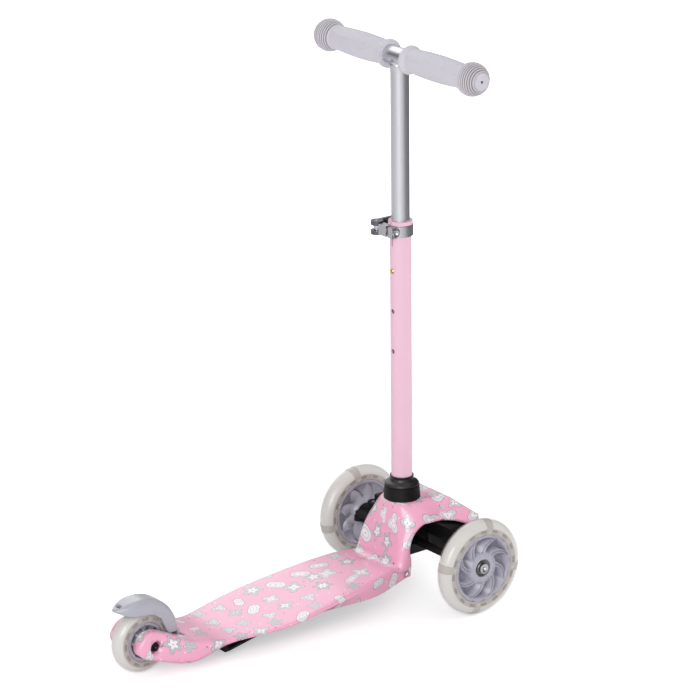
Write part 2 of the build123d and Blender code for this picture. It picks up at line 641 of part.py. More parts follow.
def stem_boot():
    """Rubber gaiter: bead on the collar, bell and neck round the stem."""
    neck = STEM_R + RUN_FIT
    z = BOOT_Z + MOVE_GAP
    lip_z, top, inside = z + BOOT_HEIGHT - BOOT_LIP_HEIGHT, z + BOOT_HEIGHT, BOOT_BEAD_R - 2 * BOOT_WALL
    outer = [(BOOT_BEAD_R - inset, z + rise) for inset, rise in BOOT]
    lip_r = neck + BOOT_WALL + BOOT_LIP
    outer += [(neck + BOOT_WALL, lip_z), (lip_r, lip_z), (lip_r, top)]
    inner = [(neck, top), (neck, z + BOOT_INSIDE[1]), (inside, z + BOOT_INSIDE[0]), (inside, z)]
    face = make_face(Polyline(*[(r, 0, h) for r, h in outer + inner], close=True))
    return Pos(X_STEM, 0, 0) * revolve(face, Axis.Z)


def clamp_collar():
    """Split band round the slit end of the stem, with two bolt lugs behind."""
    z0, z1 = CLAMP_Z - CLAMP_HEIGHT / 2, CLAMP_Z + CLAMP_HEIGHT / 2
    bolt_x = X_STEM - CLAMP_BOLT_X
    band = rod_z(STEM_R + CLAMP_WALL, X_STEM, 0, z0, z1)
    lug = block(bolt_x - CLAMP_LUG_DEPTH / 2, X_STEM - STEM_R + 2 * JOIN, CLAMP_LUG_INNER,
                CLAMP_LUG_INNER + CLAMP_LUG_WIDTH, z0, z1)
    band = band + both_sides(lug) - rod_z(STEM_R + RUN_FIT, X_STEM, 0, z0, z1)
    band -= block(X_STEM - 2 * STEM_R, X_STEM, -CLAMP_LUG_INNER, CLAMP_LUG_INNER, z0, z1)
    return band - rod_y(CLAMP_BOLT_R + RUN_FIT, bolt_x, -REACH, REACH, CLAMP_Z)


def lug_face():
    return CLAMP_LUG_INNER + CLAMP_LUG_WIDTH


def clamp_bolt():
    """Bolt through the lugs: socket head on the right, eye for the lever pin on the left."""
    x, y = X_STEM - CLAMP_BOLT_X, -lug_face()
    bolt = rod_y(CLAMP_BOLT_R, x, y, LEVER_Y, CLAMP_Z)
    head = rod_y(CLAMP_HEAD_R, x, y - CLAMP_HEAD, y, CLAMP_Z)
    head -= hex_y(CLAMP_BOLT_R, x, y - CLAMP_HEAD, y - CLAMP_HEAD / 2, CLAMP_Z)
    eye = rod_z(CLAMP_BOLT_R + LEVER_EYE_WALL, x, LEVER_Y, CLAMP_Z - LEVER_GAP / 2 + MOVE_GAP,
                CLAMP_Z + LEVER_GAP / 2 - MOVE_GAP)
    return bolt + head + eye - rod_z(LEVER_PIN_R, x, LEVER_Y, CLAMP_Z - REACH, CLAMP_Z + REACH)


def clamp_saddle():
    """Bearing block between the left lug and the cam."""
    x, h = X_STEM - CLAMP_BOLT_X, CLAMP_HEIGHT / 2
    y1 = LEVER_Y - LEVER_CAM_R - MOVE_GAP
    saddle = block(x - CLAMP_LUG_DEPTH / 2, x + CLAMP_LUG_DEPTH / 2, lug_face(), y1, CLAMP_Z - h, CLAMP_Z + h)
    return saddle - rod_y(CLAMP_BOLT_R + RUN_FIT, x, 0, REACH, CLAMP_Z)


def lever_pin():
    z = LEVER_GAP / 2 + LEVER_PRONG
    return rod_z(LEVER_PIN_R, X_STEM - CLAMP_BOLT_X, LEVER_Y, CLAMP_Z - z, CLAMP_Z + z)


def clamp_lever():
    """Forked cam lever, closed forward along the stem."""
    x, half = X_STEM - CLAMP_BOLT_X, LEVER_GAP / 2 + LEVER_PRONG
    y0, y1 = LEVER_Y + LEVER_CAM_R - LEVER_ARM, LEVER_Y + LEVER_CAM_R
    lever = rod_z(LEVER_CAM_R, x, LEVER_Y, CLAMP_Z - half, CLAMP_Z + half)
    low, high = CLAMP_Z - half + LEVER_RELIEF, CLAMP_Z + half - LEVER_RELIEF
    lever += block(x, x + LEVER_LENGTH, y0, y1, low, high)
    lever += rod_z(LEVER_ARM / 2, x + LEVER_LENGTH, (y0 + y1) / 2, low, high)
    gap = LEVER_GAP / 2
    lever -= block(x - REACH, x + LEVER_FORK, -REACH, REACH, CLAMP_Z - gap, CLAMP_Z + gap)
    return lever - rod_z(LEVER_PIN_R + RUN_FIT, x, LEVER_Y, CLAMP_Z - REACH, CLAMP_Z + REACH)


def t_bar():
    """Welded T: sliding inner tube and crossbar, with a weld flare at the joint."""
    bar = rod_z(BAR_TUBE_R, X_STEM, 0, BAR_FOOT_Z, BAR_Z)
    flare_z = BAR_Z - BAR_TUBE_R - WELD_LEG
    leg = WELD_LEG + BAR_TUBE_R / 2
    bar += Pos(X_STEM, 0, flare_z + leg / 2) * Cone(BAR_TUBE_R, BAR_TUBE_R + WELD_FLARE, leg)
    bar += rod_y(BAR_TUBE_R, X_STEM, -BAR_HALF_LENGTH, BAR_HALF_LENGTH, BAR_Z)
    bar -= rod_z(BAR_BORE_R, X_STEM, 0, BAR_FOOT_Z, BAR_Z)
    bar -= rod_y(BAR_BORE_R, X_STEM, -BAR_HALF_LENGTH, BAR_HALF_LENGTH, BAR_Z)
    return bar - rod_x(BUTTON_R + RUN_FIT, X_STEM - 2 * STEM_R, X_STEM, 0, BUTTON_Z)


def foot_bush():
    """Plastic plug in the foot of the inner tube."""
    plug = rod_z(BAR_BORE_R - RUN_FIT, X_STEM, 0, BAR_FOOT_Z, BAR_FOOT_Z + FOOT_BUSH)
    return plug + rod_z(BAR_TUBE_R, X_STEM, 0, BAR_FOOT_Z - FOOT_BUSH_LIP, BAR_FOOT_Z)


def button_seat():
    """Distance from the tube's axis to the back of the button's flange."""
    return BAR_BORE_R - BUTTON_FLANGE


def snap_button():
    """Brass button that locks the height, domed outside and flanged inside the tube."""
    tip = STEM_R + BUTTON_PROUD
    button = rod_x(BUTTON_R, X_STEM - tip + BUTTON_R / 2, X_STEM - button_seat(), 0, BUTTON_Z)
    dome = Pos(X_STEM - tip + BUTTON_R, 0, BUTTON_Z) * Sphere(BUTTON_R)
    room = rod_z(BAR_BORE_R - RUN_FIT, X_STEM, 0, BUTTON_Z - BUTTON_FLANGE_R, BUTTON_Z + BUTTON_FLANGE_R)
    back_x = X_STEM - button_seat() + BUTTON_BACK
    return button + dome + (rod_x(BUTTON_FLANGE_R, X_STEM - BAR_BORE_R, back_x, 0, BUTTON_Z) & room)


def snap_spring():
    """V of spring strip inside the inner tube that pushes the button out."""
    x0, x1 = X_STEM - button_seat() + BUTTON_BACK + RUN_FIT, X_STEM + BAR_BORE_R - SPRING_REST
    top, bend, foot, t = BUTTON_Z + SPRING_ARM, BUTTON_Z - SPRING_ARM, BUTTON_Z - SPRING_DROP, SPRING_STRIP
    xm = (x0 + x1) / 2
    return side_plate([
        (x0, top), (x0, bend), (xm, foot), (x1, bend), (x1, top),
        (x1 - t, top), (x1 - t, bend), (xm, foot + 4 * t), (x0 + t, bend), (x0 + t, top),
    ], -SPRING_WIDTH / 2, SPRING_WIDTH / 2)


def grip():
    """Left grip: inner flange, hand-shaped barrel and grooved ball end."""
    y0, ball = GRIP_INNER_Y, BALL_Y
    edge_y = ball + (BALL_R ** 2 - BALL_FLAT_R ** 2) ** 0.5
    neck_y = ball - (BALL_R ** 2 - GRIP_NECK_R ** 2) ** 0.5
    outline = [
        Line((0, y0, 0), (GRIP_FLANGE_R, y0, 0)),
        Line((GRIP_FLANGE_R, y0, 0), (GRIP_FLANGE_R, y0 + GRIP_FLANGE, 0)),
        Line((GRIP_FLANGE_R, y0 + GRIP_FLANGE, 0), (GRIP_ROOT_R, y0 + 2 * GRIP_FLANGE, 0)),
        Spline((GRIP_ROOT_R, y0 + 2 * GRIP_FLANGE, 0), (GRIP_BELLY_R, GRIP_BELLY_Y, 0),
               (GRIP_NECK_R, neck_y, 0)),
        ThreePointArc((GRIP_NECK_R, neck_y, 0), (BALL_R, ball, 0), (BALL_FLAT_R, edge_y, 0)),
        Line((BALL_FLAT_R, edge_y, 0), (0, edge_y, 0)),
        Line((0, edge_y, 0), (0, y0, 0)),
    ]
    body = revolve(make_face(outline), Axis.Y)
    for i in range(BALL_GROOVES):
        a = radians(BALL_GROOVE_START + BALL_GROOVE_STEP * i)
        ring = Pos(0, ball + BALL_R * sin(a), 0) * Rot(90, 0, 0) * Torus(BALL_R * cos(a), BALL_GROOVE)
        body -= ring
    body -= rod_y(BAR_TUBE_R + RUN_FIT, 0, y0 - JOIN, BAR_HALF_LENGTH + RUN_FIT, 0)
    body -= rod_y(VENT_R, 0, BAR_HALF_LENGTH, edge_y + JOIN, 0)
    return Pos(X_STEM, 0, BAR_Z) * body


def knuckle():
    """Left steering knuckle: kingpin barrel, axle boss and steering arm."""
    z0, z1 = AXLE_Z - KNUCKLE_HEIGHT / 2, AXLE_Z + KNUCKLE_HEIGHT / 2
    body = rod_z(KNUCKLE_BARREL_R, X_FRONT, KINGPIN_Y, z0, z1)
    body += rod_y(KNUCKLE_BOSS_R, X_FRONT, KINGPIN_Y, KNUCKLE_FACE_Y, AXLE_Z)
    half = STEER_ARM_WIDTH / 2
    top, low = STEER_ARM_TOP, STEER_ARM_TOP - STEER_ARM_HEIGHT
    body += block(X_STEM, X_FRONT, KINGPIN_Y - half, KINGPIN_Y + half, low, top)
    body += rod_z(half + STEER_ARM_PAD, X_STEM, KINGPIN_Y, low, top)
    slot = TIE_PIN_R + TIE_PIN_PLAY / 3
    body -= block(X_STEM - TIE_PIN_R - TIE_PIN_PLAY, X_STEM + TIE_PIN_R + TIE_PIN_PLAY,
                  KINGPIN_Y - slot, KINGPIN_Y + slot, low, top)
    body -= rod_z(KINGPIN_R + RUN_FIT, X_FRONT, KINGPIN_Y, z0, z1)
    return body - rod_y(BEARING_BORE_R, X_FRONT, axle_root_y(), KNUCKLE_FACE_Y, AXLE_Z)


def axle_root_y():
    return KINGPIN_Y + KINGPIN_R + AXLE_ROOT


def outer_bearing_face():
    return WHEEL_Y + TYRE_WIDTH / 2 - BEARING_INSET


def axle_bolt():
    """Left front axle: shank into the knuckle, socket head outside the wheel."""
    seat = outer_bearing_face() + MOVE_GAP
    bolt = rod_y(BEARING_BORE_R, X_FRONT, axle_root_y(), seat, AXLE_Z)
    head = rod_y(AXLE_HEAD_R, X_FRONT, seat, seat + AXLE_HEAD, AXLE_Z)
    return bolt + head - hex_y(AXLE_HEAD_R / 2, X_FRONT, seat + AXLE_HEAD / 2, seat + AXLE_HEAD, AXLE_Z)


def tie_rod():
    """Bar that joins the steering arms, with the pin that the column drives."""
    half, z1 = TIE_ROD_WIDTH / 2, TIE_ROD_Z + TIE_ROD_HEIGHT
    rod = block(X_STEM - half, X_STEM + half, -KINGPIN_Y, KINGPIN_Y, TIE_ROD_Z, z1)
    end = rod_z(half, X_STEM, KINGPIN_Y, TIE_ROD_Z, z1)
    pin = rod_z(TIE_PIN_R, X_STEM, KINGPIN_Y, STEER_ARM_TOP - STEER_ARM_HEIGHT, TIE_ROD_Z)
    drive = rod_z(DRIVE_PIN_R, X_STEM, 0, z1, DRIVE_PIN_TOP)
    return rod + both_sides(end + pin) + drive


def polar(radius, angle):
    return (radius * cos(angle), radius * sin(angle))


def swirl_rib(r0, r1, start, swirl, wall, y0, y1):
    """Curved rib between two radii about the Y axis, leaning round by the swirl."""
    stops = [(r0, start), ((r0 + r1) / 2, start + swirl * SWIRL_EASE), (r1, start + swirl)]
    near = [polar(r, a - wall / 2 / r) for r, a in stops]
    far = [polar(r, a + wall / 2 / r) for r, a in stops]
    face = make_face([
        ThreePointArc(*near), Line(near[2], far[2]), ThreePointArc(*reversed(far)), Line(far[0], near[0]),
    ])
    plane = Plane((0, y0, 0), x_dir=(1, 0, 0), z_dir=(0, 1, 0))
    return extrude(plane * face, y1 - y0)


def around_y(shape, count, offset=0.0):
    return [Rot(0, offset + 360.0 * i / count, 0) * shape for i in range(count)]


def hub_core(rim_r, boss_r):
    """Rim and bearing boss, turned about Y."""
    half = TYRE_WIDTH / 2
    rim = half - RIM_INSET
    hub = rod_y(rim_r, 0, -rim, rim, 0) - rod_y(rim_r - RIM_WALL, 0, -rim, rim, 0)
    return hub + rod_y(boss_r, 0, HUB_BOSS_INSET - half, half - BEARING_INSET + HUB_BOSS_LIP, 0)


def lug_ring(rim_r, count):
    wide, long = LUG_WIDTH / 2, LUG_LENGTH / 2
    return around_y(block(rim_r - JOIN, rim_r + LUG_HEIGHT, -wide, wide, -long, long), count)


def front_hub():
    """Hub of one wall folded into pockets outside and lobes inside, with swirling spokes between them."""
    well_r = FRONT_RIM_R - RIM_WALL
    face = TYRE_WIDTH / 2 - RIM_INSET - JOIN
    low = HUB_DISH - face
    hub = hub_core(FRONT_RIM_R, BEARING_R + HUB_BOSS_WALL) + rod_y(well_r + JOIN, 0, low, face, 0)
    pockets = rod_y(well_r, 0, low + POCKET_WALL, face + JOIN, 0) - rod_y(HUB_DISC_R, 0, low, face + JOIN, 0)
    root, tip, swirl = HUB_DISC_R - JOIN, well_r + JOIN, radians(SPOKE_SWIRL)
    grooves = []
    for i in range(SPOKES):
        start = 2 * pi * i / SPOKES
        pockets -= swirl_rib(root, tip, start, swirl, SPOKE_WIDTH, low, face + JOIN)
        for y0, y1 in ((low - JOIN, face - SPOKE_GROOVE - SPOKE_ROOF), (face - SPOKE_GROOVE, face + JOIN)):
            grooves.append(swirl_rib(root, tip, start, swirl, SPOKE_GAP, y0, y1))
    hub = hub - pockets - grooves + lug_ring(FRONT_RIM_R, LUGS)
    return hub - rod_y(BEARING_R + RUN_FIT, 0, -TYRE_WIDTH, TYRE_WIDTH, 0)


def rear_hub():
    boss_r, rib_r = BEARING_R + HUB_BOSS_WALL / 2, REAR_RIM_R - RIM_WALL + JOIN / 2
    hub = hub_core(REAR_RIM_R, boss_r)
    wide, thick = TYRE_WIDTH / 4, REAR_SPOKE_WALL / 2
    spoke = block(boss_r - JOIN / 2, rib_r, -wide, wide, -thick, thick)
    hub = hub + around_y(spoke, REAR_SPOKES) + lug_ring(REAR_RIM_R, REAR_LUGS)
    return hub - rod_y(BEARING_R + RUN_FIT, 0, -TYRE_WIDTH, TYRE_WIDTH, 0)


def led_modules():
    """Light modules set into the tyre between the lugs."""
    r = FRONT_RIM_R
    led = block(r, r + LED_HEIGHT, -LED_WIDTH / 2, LED_WIDTH / 2, -LED_LENGTH / 2, LED_LENGTH / 2)
    led -= rod_y(r, 0, -LED_WIDTH, LED_WIDTH, 0)
    return Compound(around_y(led, LED_MODULES, -180.0 / LUGS))


def tyre(rim_r, outer_r, hub, modules):
    """Cast tyre with a round crown, moulded over the hub's lugs."""
    half, face = TYRE_WIDTH / 2, TYRE_WIDTH / 2 - RIM_INSET
    shoulder = outer_r - TYRE_SHOULDER
    outline = [
        Line((rim_r, -face, 0), (rim_r + TYRE_FACE_TAPER, -half, 0)),
        Line((rim_r + TYRE_FACE_TAPER, -half, 0), (shoulder, -half, 0)),
        ThreePointArc((shoulder, -half, 0), (outer_r, 0, 0), (shoulder, half, 0)),
        Line((shoulder, half, 0), (rim_r + TYRE_FACE_TAPER, half, 0)),
        Line((rim_r + TYRE_FACE_TAPER, half, 0), (rim_r, face, 0)),
        Line((rim_r, face, 0), (rim_r, -face, 0)),
    ]
    body = revolve(make_face(outline), Axis.Y) - hub
    return body - modules if modules else body


def bearing(y0):
    """Ball bearing ring with a stepped shield on both faces."""
    r0, r1, w, step = BEARING_BORE_R + RUN_FIT, BEARING_R, BEARING_WIDTH, BEARING_STEP
    inner, outer = r0 + BEARING_RACE, r1 - BEARING_RACE
    return turned([
        (r0, y0), (inner, y0), (inner, y0 + step), (outer, y0 + step), (outer, y0), (r1, y0),
        (r1, y0 + w), (outer, y0 + w), (outer, y0 + w - step), (inner, y0 + w - step), (inner, y0 + w),
        (r0, y0 + w),
    ])


def bearing_places():
    """Near ends of the inner and outer bearing along the wheel's own axis."""
    return HUB_BOSS_INSET - TYRE_WIDTH / 2, TYRE_WIDTH / 2 - BEARING_INSET - BEARING_WIDTH


def bearings():
    return Compound([bearing(y) for y in bearing_places()])


def bearing_spacer():
    """Sleeve between the two bearings, the magnet core of the light-up wheel."""
    inner, outer = bearing_places()
    sleeve = rod_y(BEARING_R - BEARING_RACE, 0, inner + BEARING_WIDTH, outer, 0)
    return sleeve - rod_y(BEARING_BORE_R + RUN_FIT, 0, -TYRE_WIDTH, TYRE_WIDTH, 0)


def rear_axle_bolt():
    y0, y1 = -FORK_RECESS_FLOOR_Y, FORK_RECESS_FLOOR_Y
    bolt = rod_y(BEARING_BORE_R, X_REAR, y0, y1 + AXLE_TAIL, REAR_TYRE_R)
    head = hex_y(AXLE_HEAD_R, X_REAR, y0 - AXLE_HEAD, y0, REAR_TYRE_R)
    return bolt + head - rod_y(AXLE_HEAD_R / 2, X_REAR, y0 - AXLE_HEAD, y0 - AXLE_HEAD / 2, REAR_TYRE_R)


def rear_axle_nut():
    nut = hex_y(AXLE_HEAD_R, X_REAR, FORK_RECESS_FLOOR_Y, FORK_RECESS_FLOOR_Y + AXLE_NUT, REAR_TYRE_R)
    return nut - rod_y(BEARING_BORE_R, X_REAR, 0, REACH, REAR_TYRE_R)


def rear_axle_spacers():
    y0 = TYRE_WIDTH / 2 - HUB_BOSS_INSET + MOVE_GAP
    sleeve = rod_y(BEARING_BORE_R + AXLE_SPACER_WALL, X_REAR, y0, FORK_SLOT_HALF, REAR_TYRE_R)
    sleeve -= rod_y(BEARING_BORE_R, X_REAR, 0, REACH, REAR_TYRE_R)
    return Compound([sleeve, mirrored(sleeve)])


def fender_centre():
    return X_REAR + FENDER_SHIFT_X, REAR_TYRE_R + FENDER_RISE


def crowned(half_width, crown):
    """Drop from the crest and place across, for the right edge of a crowned section."""
    return [(drop * crown, half_width * share - inset * crown) for drop, share, inset in FENDER_EDGE]


def fender_disc(radius, half_width, crown):
    """Turned blank about the fender's centre, its rim drawn in by the crown at both edges."""
    x, z = fender_centre()
    rim = [(radius - drop, y) for drop, y in crowned(half_width, crown)]
    outline = [(0, -half_width)] + [(r, -y) for r, y in rim] + [(r, y) for r, y in reversed(rim)]
    return Pos(x, 0, z) * turned(outline + [(0, half_width)])


def beak_wire(x, half_width, top, low):
    """Cross-section of the tail, crowned like the fender."""
    rim = crowned(half_width, min(FENDER_CROWN, (top - low) / 4))
    upper = [(y, top - drop) for drop, y in rim]
    points = [(half_width, low)] + upper + [(-y, z) for y, z in reversed(upper)] + [(-half_width, low)]
    return Wire.make_polygon([(x, y, z) for y, z in points])


def brake_fender():
    """Fender that hugs the tyre, kicks up at the tail and hinges under the deck."""
    cx, cz = fender_centre()
    half, top, low = FENDER_HALF_WIDTH, cz + FENDER_R, cz + FENDER_SKIRT
    tail_x = cx - FENDER_LEAD
    hem = [(cx + x, cz + z) for x, z in FENDER_HEM]
    arch = [(cx + FENDER_R, cz), (cx + FENDER_R, top), (tail_x, top), (tail_x, low)]
    side = side_plate(arch + hem, -half, half)
    tail = [beak_wire(tail_x + b.x, half * b.width, top - b.drop, low + b.rise) for b in BEAK]
    body = (side & fender_disc(FENDER_R, half, FENDER_CROWN)) + Solid.make_loft(tail)
    hollow = fender_disc(FENDER_R - FENDER_WALL, half - FENDER_WALL, FENDER_CROWN / 4)
    body -= hollow & block(tail_x, cx + FENDER_R, -half, half, cz - FENDER_R, top)
    inner = [(tail_x + b.x, half * b.width - FENDER_WALL, top - b.drop - FENDER_WALL) for b in BEAK[:-1]]
    body -= Solid.make_loft([beak_wire(x, wide, crest, cz) for x, wide, crest in inner])
    body += brake_foot() + pad_carrier()
    length, width = FENDER_SLOT
    return body - Pos(tail_x + BEAK[-2].x, 0, cz + FENDER_R) * Box(width, length, FENDER_R)


def brake_foot():
    """Leg from the fender's front edge to the hinge barrel, with the nose that loads the rubber."""
    cx, cz = fender_centre()
    x1, z, r = cx + FENDER_R, BRAKE_HINGE_Z, BRAKE_BARREL_R
    x0, shin_x, knee_z, half = x1 - FENDER_WALL, HINGE_X - BRAKE_SHIN, z + BRAKE_KNEE, brake_leg_half_width()
    leg = side_plate([
        (x1, cz + JOIN), (x0, cz + JOIN), (x0, knee_z), (shin_x, z - r), (HINGE_X, z - r), (HINGE_X, z + r),
        (shin_x, z + r), (x1 + JOIN, knee_z + BRAKE_KNEE_STEP),
    ], -half, half)
    leg += rod_y(r, HINGE_X, -half, half, z)
    nose_x, wide = HINGE_X + BRAKE_NOSE + BRAKE_NOSE_END, BRAKE_NOSE_HALF_WIDTH
    leg += block(HINGE_X, nose_x, -wide, wide, z - r, z - r + BRAKE_NOSE_WALL)
    return leg - rod_y(BRAKE_PIN_R + RUN_FIT, HINGE_X, -REACH, REACH, z)


def tyre_sector(r0, r1, half_width):
    """Piece of a ring about the rear axle, over the top of the tyre."""
    ring = rod_y(r1, X_REAR, -half_width, half_width, REAR_TYRE_R)
    ring -= rod_y(r0, X_REAR, -half_width, half_width, REAR_TYRE_R)
    top = REAR_TYRE_R + REACH
    wedge = side_plate([
        (X_REAR, REAR_TYRE_R), (X_REAR + REACH * tan(radians(PAD_AHEAD)), top),
        (X_REAR - REACH * tan(radians(PAD_BEHIND)), top),
    ], -half_width, half_width)
    return ring & wedge


def pad_carrier():
    """Web under the fender that backs the friction plate."""
    outer = fender_disc(FENDER_R - FENDER_WALL / 2, PAD_HALF_WIDTH, FENDER_CROWN / 8)
    r0 = REAR_TYRE_R + BRAKE_GAP + PAD_WALL
    return tyre_sector(r0, r0 + PAD_BACKING, PAD_HALF_WIDTH) & outer


def brake_pad():
    r0 = REAR_TYRE_R + BRAKE_GAP
    return tyre_sector(r0, r0 + PAD_WALL, PAD_HALF_WIDTH - JOIN)


def brake_hinge_pin():
    y = brake_leg_half_width() + BRAKE_LUG_GAP + BRAKE_LUG
    return rod_y(BRAKE_PIN_R, HINGE_X, -y, y, BRAKE_HINGE_Z)


def brake_return_rubber():
    z0 = BRAKE_HINGE_Z - BRAKE_BARREL_R + BRAKE_NOSE_WALL
    return rod_z(RETURN_RUBBER_R, HINGE_X + BRAKE_NOSE, 0, z0 + MOVE_GAP, return_seat_z())


def front_wheel(place, hub, modules):
    """Nodes of one front wheel, carried to its place."""
    nodes = {
        "hub": hub, "tyre": tyre(FRONT_RIM_R, FRONT_TYRE_R, hub, modules), "led_modules": modules,
        "bearings": bearings(), "magnet_core": bearing_spacer(),
    }
    return {name: place * shape for name, shape in nodes.items()}


def nodes():
    """Every piece of the scooter by its node name."""
    pieces = {
        "deck_shell": deck_shell(), "under_tray": under_tray(), "tray_screws": tray_screws(),
        "front_carrier": front_carrier(), "carrier_screws": tongue_screws(), "kingpins": kingpins(),
        "lean_pivot_pin": lean_pivot_pin(), "lean_bumpers": lean_bumpers(), "collar_ring": collar_ring(),
        "steering_column": steering_column(), "stem_tube": stem_tube(), "stem_lock_pin": stem_lock_pin(),
        "stem_boot": stem_boot(), "clamp_collar": clamp_collar(), "clamp_bolt": clamp_bolt(),
        "clamp_saddle": clamp_saddle(), "lever_pin": lever_pin(), "clamp_lever": clamp_lever(),
        "t_bar": t_bar(), "foot_bush": foot_bush(), "snap_button": snap_button(),
        "snap_spring": snap_spring(), "left_grip": grip(), "right_grip": mirrored(grip()),
        "left_knuckle": knuckle(), "right_knuckle": mirrored(knuckle()),
        "left_axle_bolt": axle_bolt(), "right_axle_bolt": mirrored(axle_bolt()), "tie_rod": tie_rod(),
        "rear_axle_bolt": rear_axle_bolt(), "rear_axle_nut": rear_axle_nut(),
        "rear_axle_spacers": rear_axle_spacers(), "brake_fender": brake_fender(),
        "brake_pad": brake_pad(), "brake_hinge_pin": brake_hinge_pin(),
        "brake_return_rubber": brake_return_rubber(),
    }
    hub, modules = front_hub(), led_modules()
    for side, turn in ((1, 0), (-1, 180)):
        name = "left_wheel_" if side > 0 else "right_wheel_"
        place = Pos(X_FRONT, side * WHEEL_Y, AXLE_Z) * Rot(0, 0, turn)
        for node, shape in front_wheel(place, hub, modules).items():
            pieces[name + node] = shape
    rear = Pos(X_REAR, 0, REAR_TYRE_R)
    hub = rear_hub()
    pieces["rear_wheel_hub"] = rear * hub
    pieces["rear_wheel_tyre"] = rear * tyre(REAR_RIM_R, REAR_TYRE_R, hub, None)
    face = TYRE_WIDTH / 2 - HUB_BOSS_INSET
    pieces["rear_wheel_bearings"] = rear * Compound([bearing(-face), bearing(face - BEARING_WIDTH)])
    core = rod_y(BEARING_R - BEARING_RACE, 0, BEARING_WIDTH - face, face - BEARING_WIDTH, 0)
    core -= rod_y(BEARING_BORE_R + RUN_FIT, 0, -TYRE_WIDTH, TYRE_WIDTH, 0)
    pieces["rear_wheel_spacer"] = rear * core
    return pieces


os.makedirs("parts", exist_ok=True)
for node_name, piece in nodes().items():
    export_step(piece, os.path.join("parts", node_name + ".step"))
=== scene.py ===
"""Looks of a child's three-wheeled kick scooter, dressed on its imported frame."""

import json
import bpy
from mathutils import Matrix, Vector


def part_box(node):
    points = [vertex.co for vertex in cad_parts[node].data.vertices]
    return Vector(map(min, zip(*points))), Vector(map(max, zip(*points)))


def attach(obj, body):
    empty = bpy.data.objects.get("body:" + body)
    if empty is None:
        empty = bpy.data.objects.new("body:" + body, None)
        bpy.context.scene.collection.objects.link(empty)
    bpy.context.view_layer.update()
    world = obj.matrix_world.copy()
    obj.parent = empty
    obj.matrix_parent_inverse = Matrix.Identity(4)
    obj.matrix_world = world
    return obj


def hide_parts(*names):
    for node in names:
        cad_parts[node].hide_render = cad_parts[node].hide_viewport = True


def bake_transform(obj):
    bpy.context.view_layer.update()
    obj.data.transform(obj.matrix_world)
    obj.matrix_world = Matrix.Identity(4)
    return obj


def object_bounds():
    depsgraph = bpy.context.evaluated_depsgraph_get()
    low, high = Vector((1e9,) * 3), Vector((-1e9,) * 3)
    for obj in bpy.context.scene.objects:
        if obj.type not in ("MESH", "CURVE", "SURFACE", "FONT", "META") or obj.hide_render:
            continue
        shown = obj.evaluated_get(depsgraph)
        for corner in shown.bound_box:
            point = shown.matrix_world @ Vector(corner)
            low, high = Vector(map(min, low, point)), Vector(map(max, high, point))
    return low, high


bl_info = {
    "name": "Kick scooter looks",
    "version": (1, 0, 0),
    "blender": (4, 5, 0),
    "location": "3D View > Sidebar > Scooter",
    "description": "Printed shell, wheels, grips, metalwork and stage of a three-wheeled kick scooter",
    "category": "Object",
}

from functools import cache, partial
from math import atan2, cos, pi, radians, sin

import bmesh
import bpy
from mathutils import Matrix, Vector
from mathutils.bvhtree import BVHTree
from mathutils.kdtree import KDTree

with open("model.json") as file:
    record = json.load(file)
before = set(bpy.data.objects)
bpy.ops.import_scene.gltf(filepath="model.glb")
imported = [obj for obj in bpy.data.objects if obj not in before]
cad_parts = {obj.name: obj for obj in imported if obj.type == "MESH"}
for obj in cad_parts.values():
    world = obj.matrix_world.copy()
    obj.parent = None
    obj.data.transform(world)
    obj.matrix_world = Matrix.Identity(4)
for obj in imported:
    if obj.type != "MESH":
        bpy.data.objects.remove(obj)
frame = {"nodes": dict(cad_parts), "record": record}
CAD_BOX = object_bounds()

MM = 0.001
SIDES = {"left": 1, "right": -1}
SLOT_OF = {part["node"]: part["material_slot"] for part in frame["record"]["subparts"]}
BODY_OF = {
    node: body
    for body, members in frame["record"]["behaviour"]["bodies"].items()
    for node in members
}
STEM_AXIS = sum(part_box("stem_tube"), Vector()) / 2
BAR_AXIS = sum((*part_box("left_grip"), *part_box("right_grip")), Vector()) / 4
ALONG_Y = Vector((0, 1, 0))
# Edges that shade as sharp, edges that part two faces of a moulding, and points that are one
SHARP = radians(32)
KEEN = radians(50)
MERGE = 0.001 * MM
# How nearly a face looks away from a tube's axis to count as its wall
ROUND_WALL = 0.95
# Length of a slow drift of shade, and how far a finish's grain swings its roughness or shade
CLOUD = 25 * MM
GLOSS_SWING = 0.05
METAL_GLOSS = (0.75, 1.25)
METAL_SHADES = (0.93, 1.05)
CAST_SHADES = (0.93, 1.04)
# Tyres: room at the hub's rim, chamfers across and along the section, and steps of its crown
TYRE_ROOM = 0.05 * MM
TYRE_CHAMFER = (1.2 * MM, MM)
CROWN_STEPS = 18
SKIN_STEPS = 128
# Inside the tyres: shares of a lug's height, of the skin's thickness and of a brick's least side
TYRE_FOOT = 2.4
LUG_SEAT = 1.4
PANE_INSET = 0.6
CHIP_INSET = 0.5
BRICK_ROUNDING = 0.25
CHIP = (2.6 * MM, MM, 3.4 * MM)


def linear(hex_value):
    """sRGB hex colour as linear red, green and blue."""
    channels = [int(hex_value[i : i + 2], 16) / 255 for i in (0, 2, 4)]
    return tuple(c / 12.92 if c <= 0.04045 else ((c + 0.055) / 1.055) ** 2.4 for c in channels)


def colour(name, description, hex_value):
    """Colour property with an sRGB hex default."""
    return bpy.props.FloatVectorProperty(
        name=name, description=description, subtype="COLOR", min=0, max=1, default=linear(hex_value)
    )


def size(name, description, millimetres):
    """Length property with a default in millimetres."""
    return bpy.props.FloatProperty(
        name=name, description=description, default=millimetres * MM, min=0, precision=5, unit="LENGTH"
    )


def angle(name, description, degrees):
    """Angle property with a default in degrees."""
    return bpy.props.FloatProperty(
        name=name, description=description, default=radians(degrees), unit="ROTATION", subtype="ANGLE"
    )


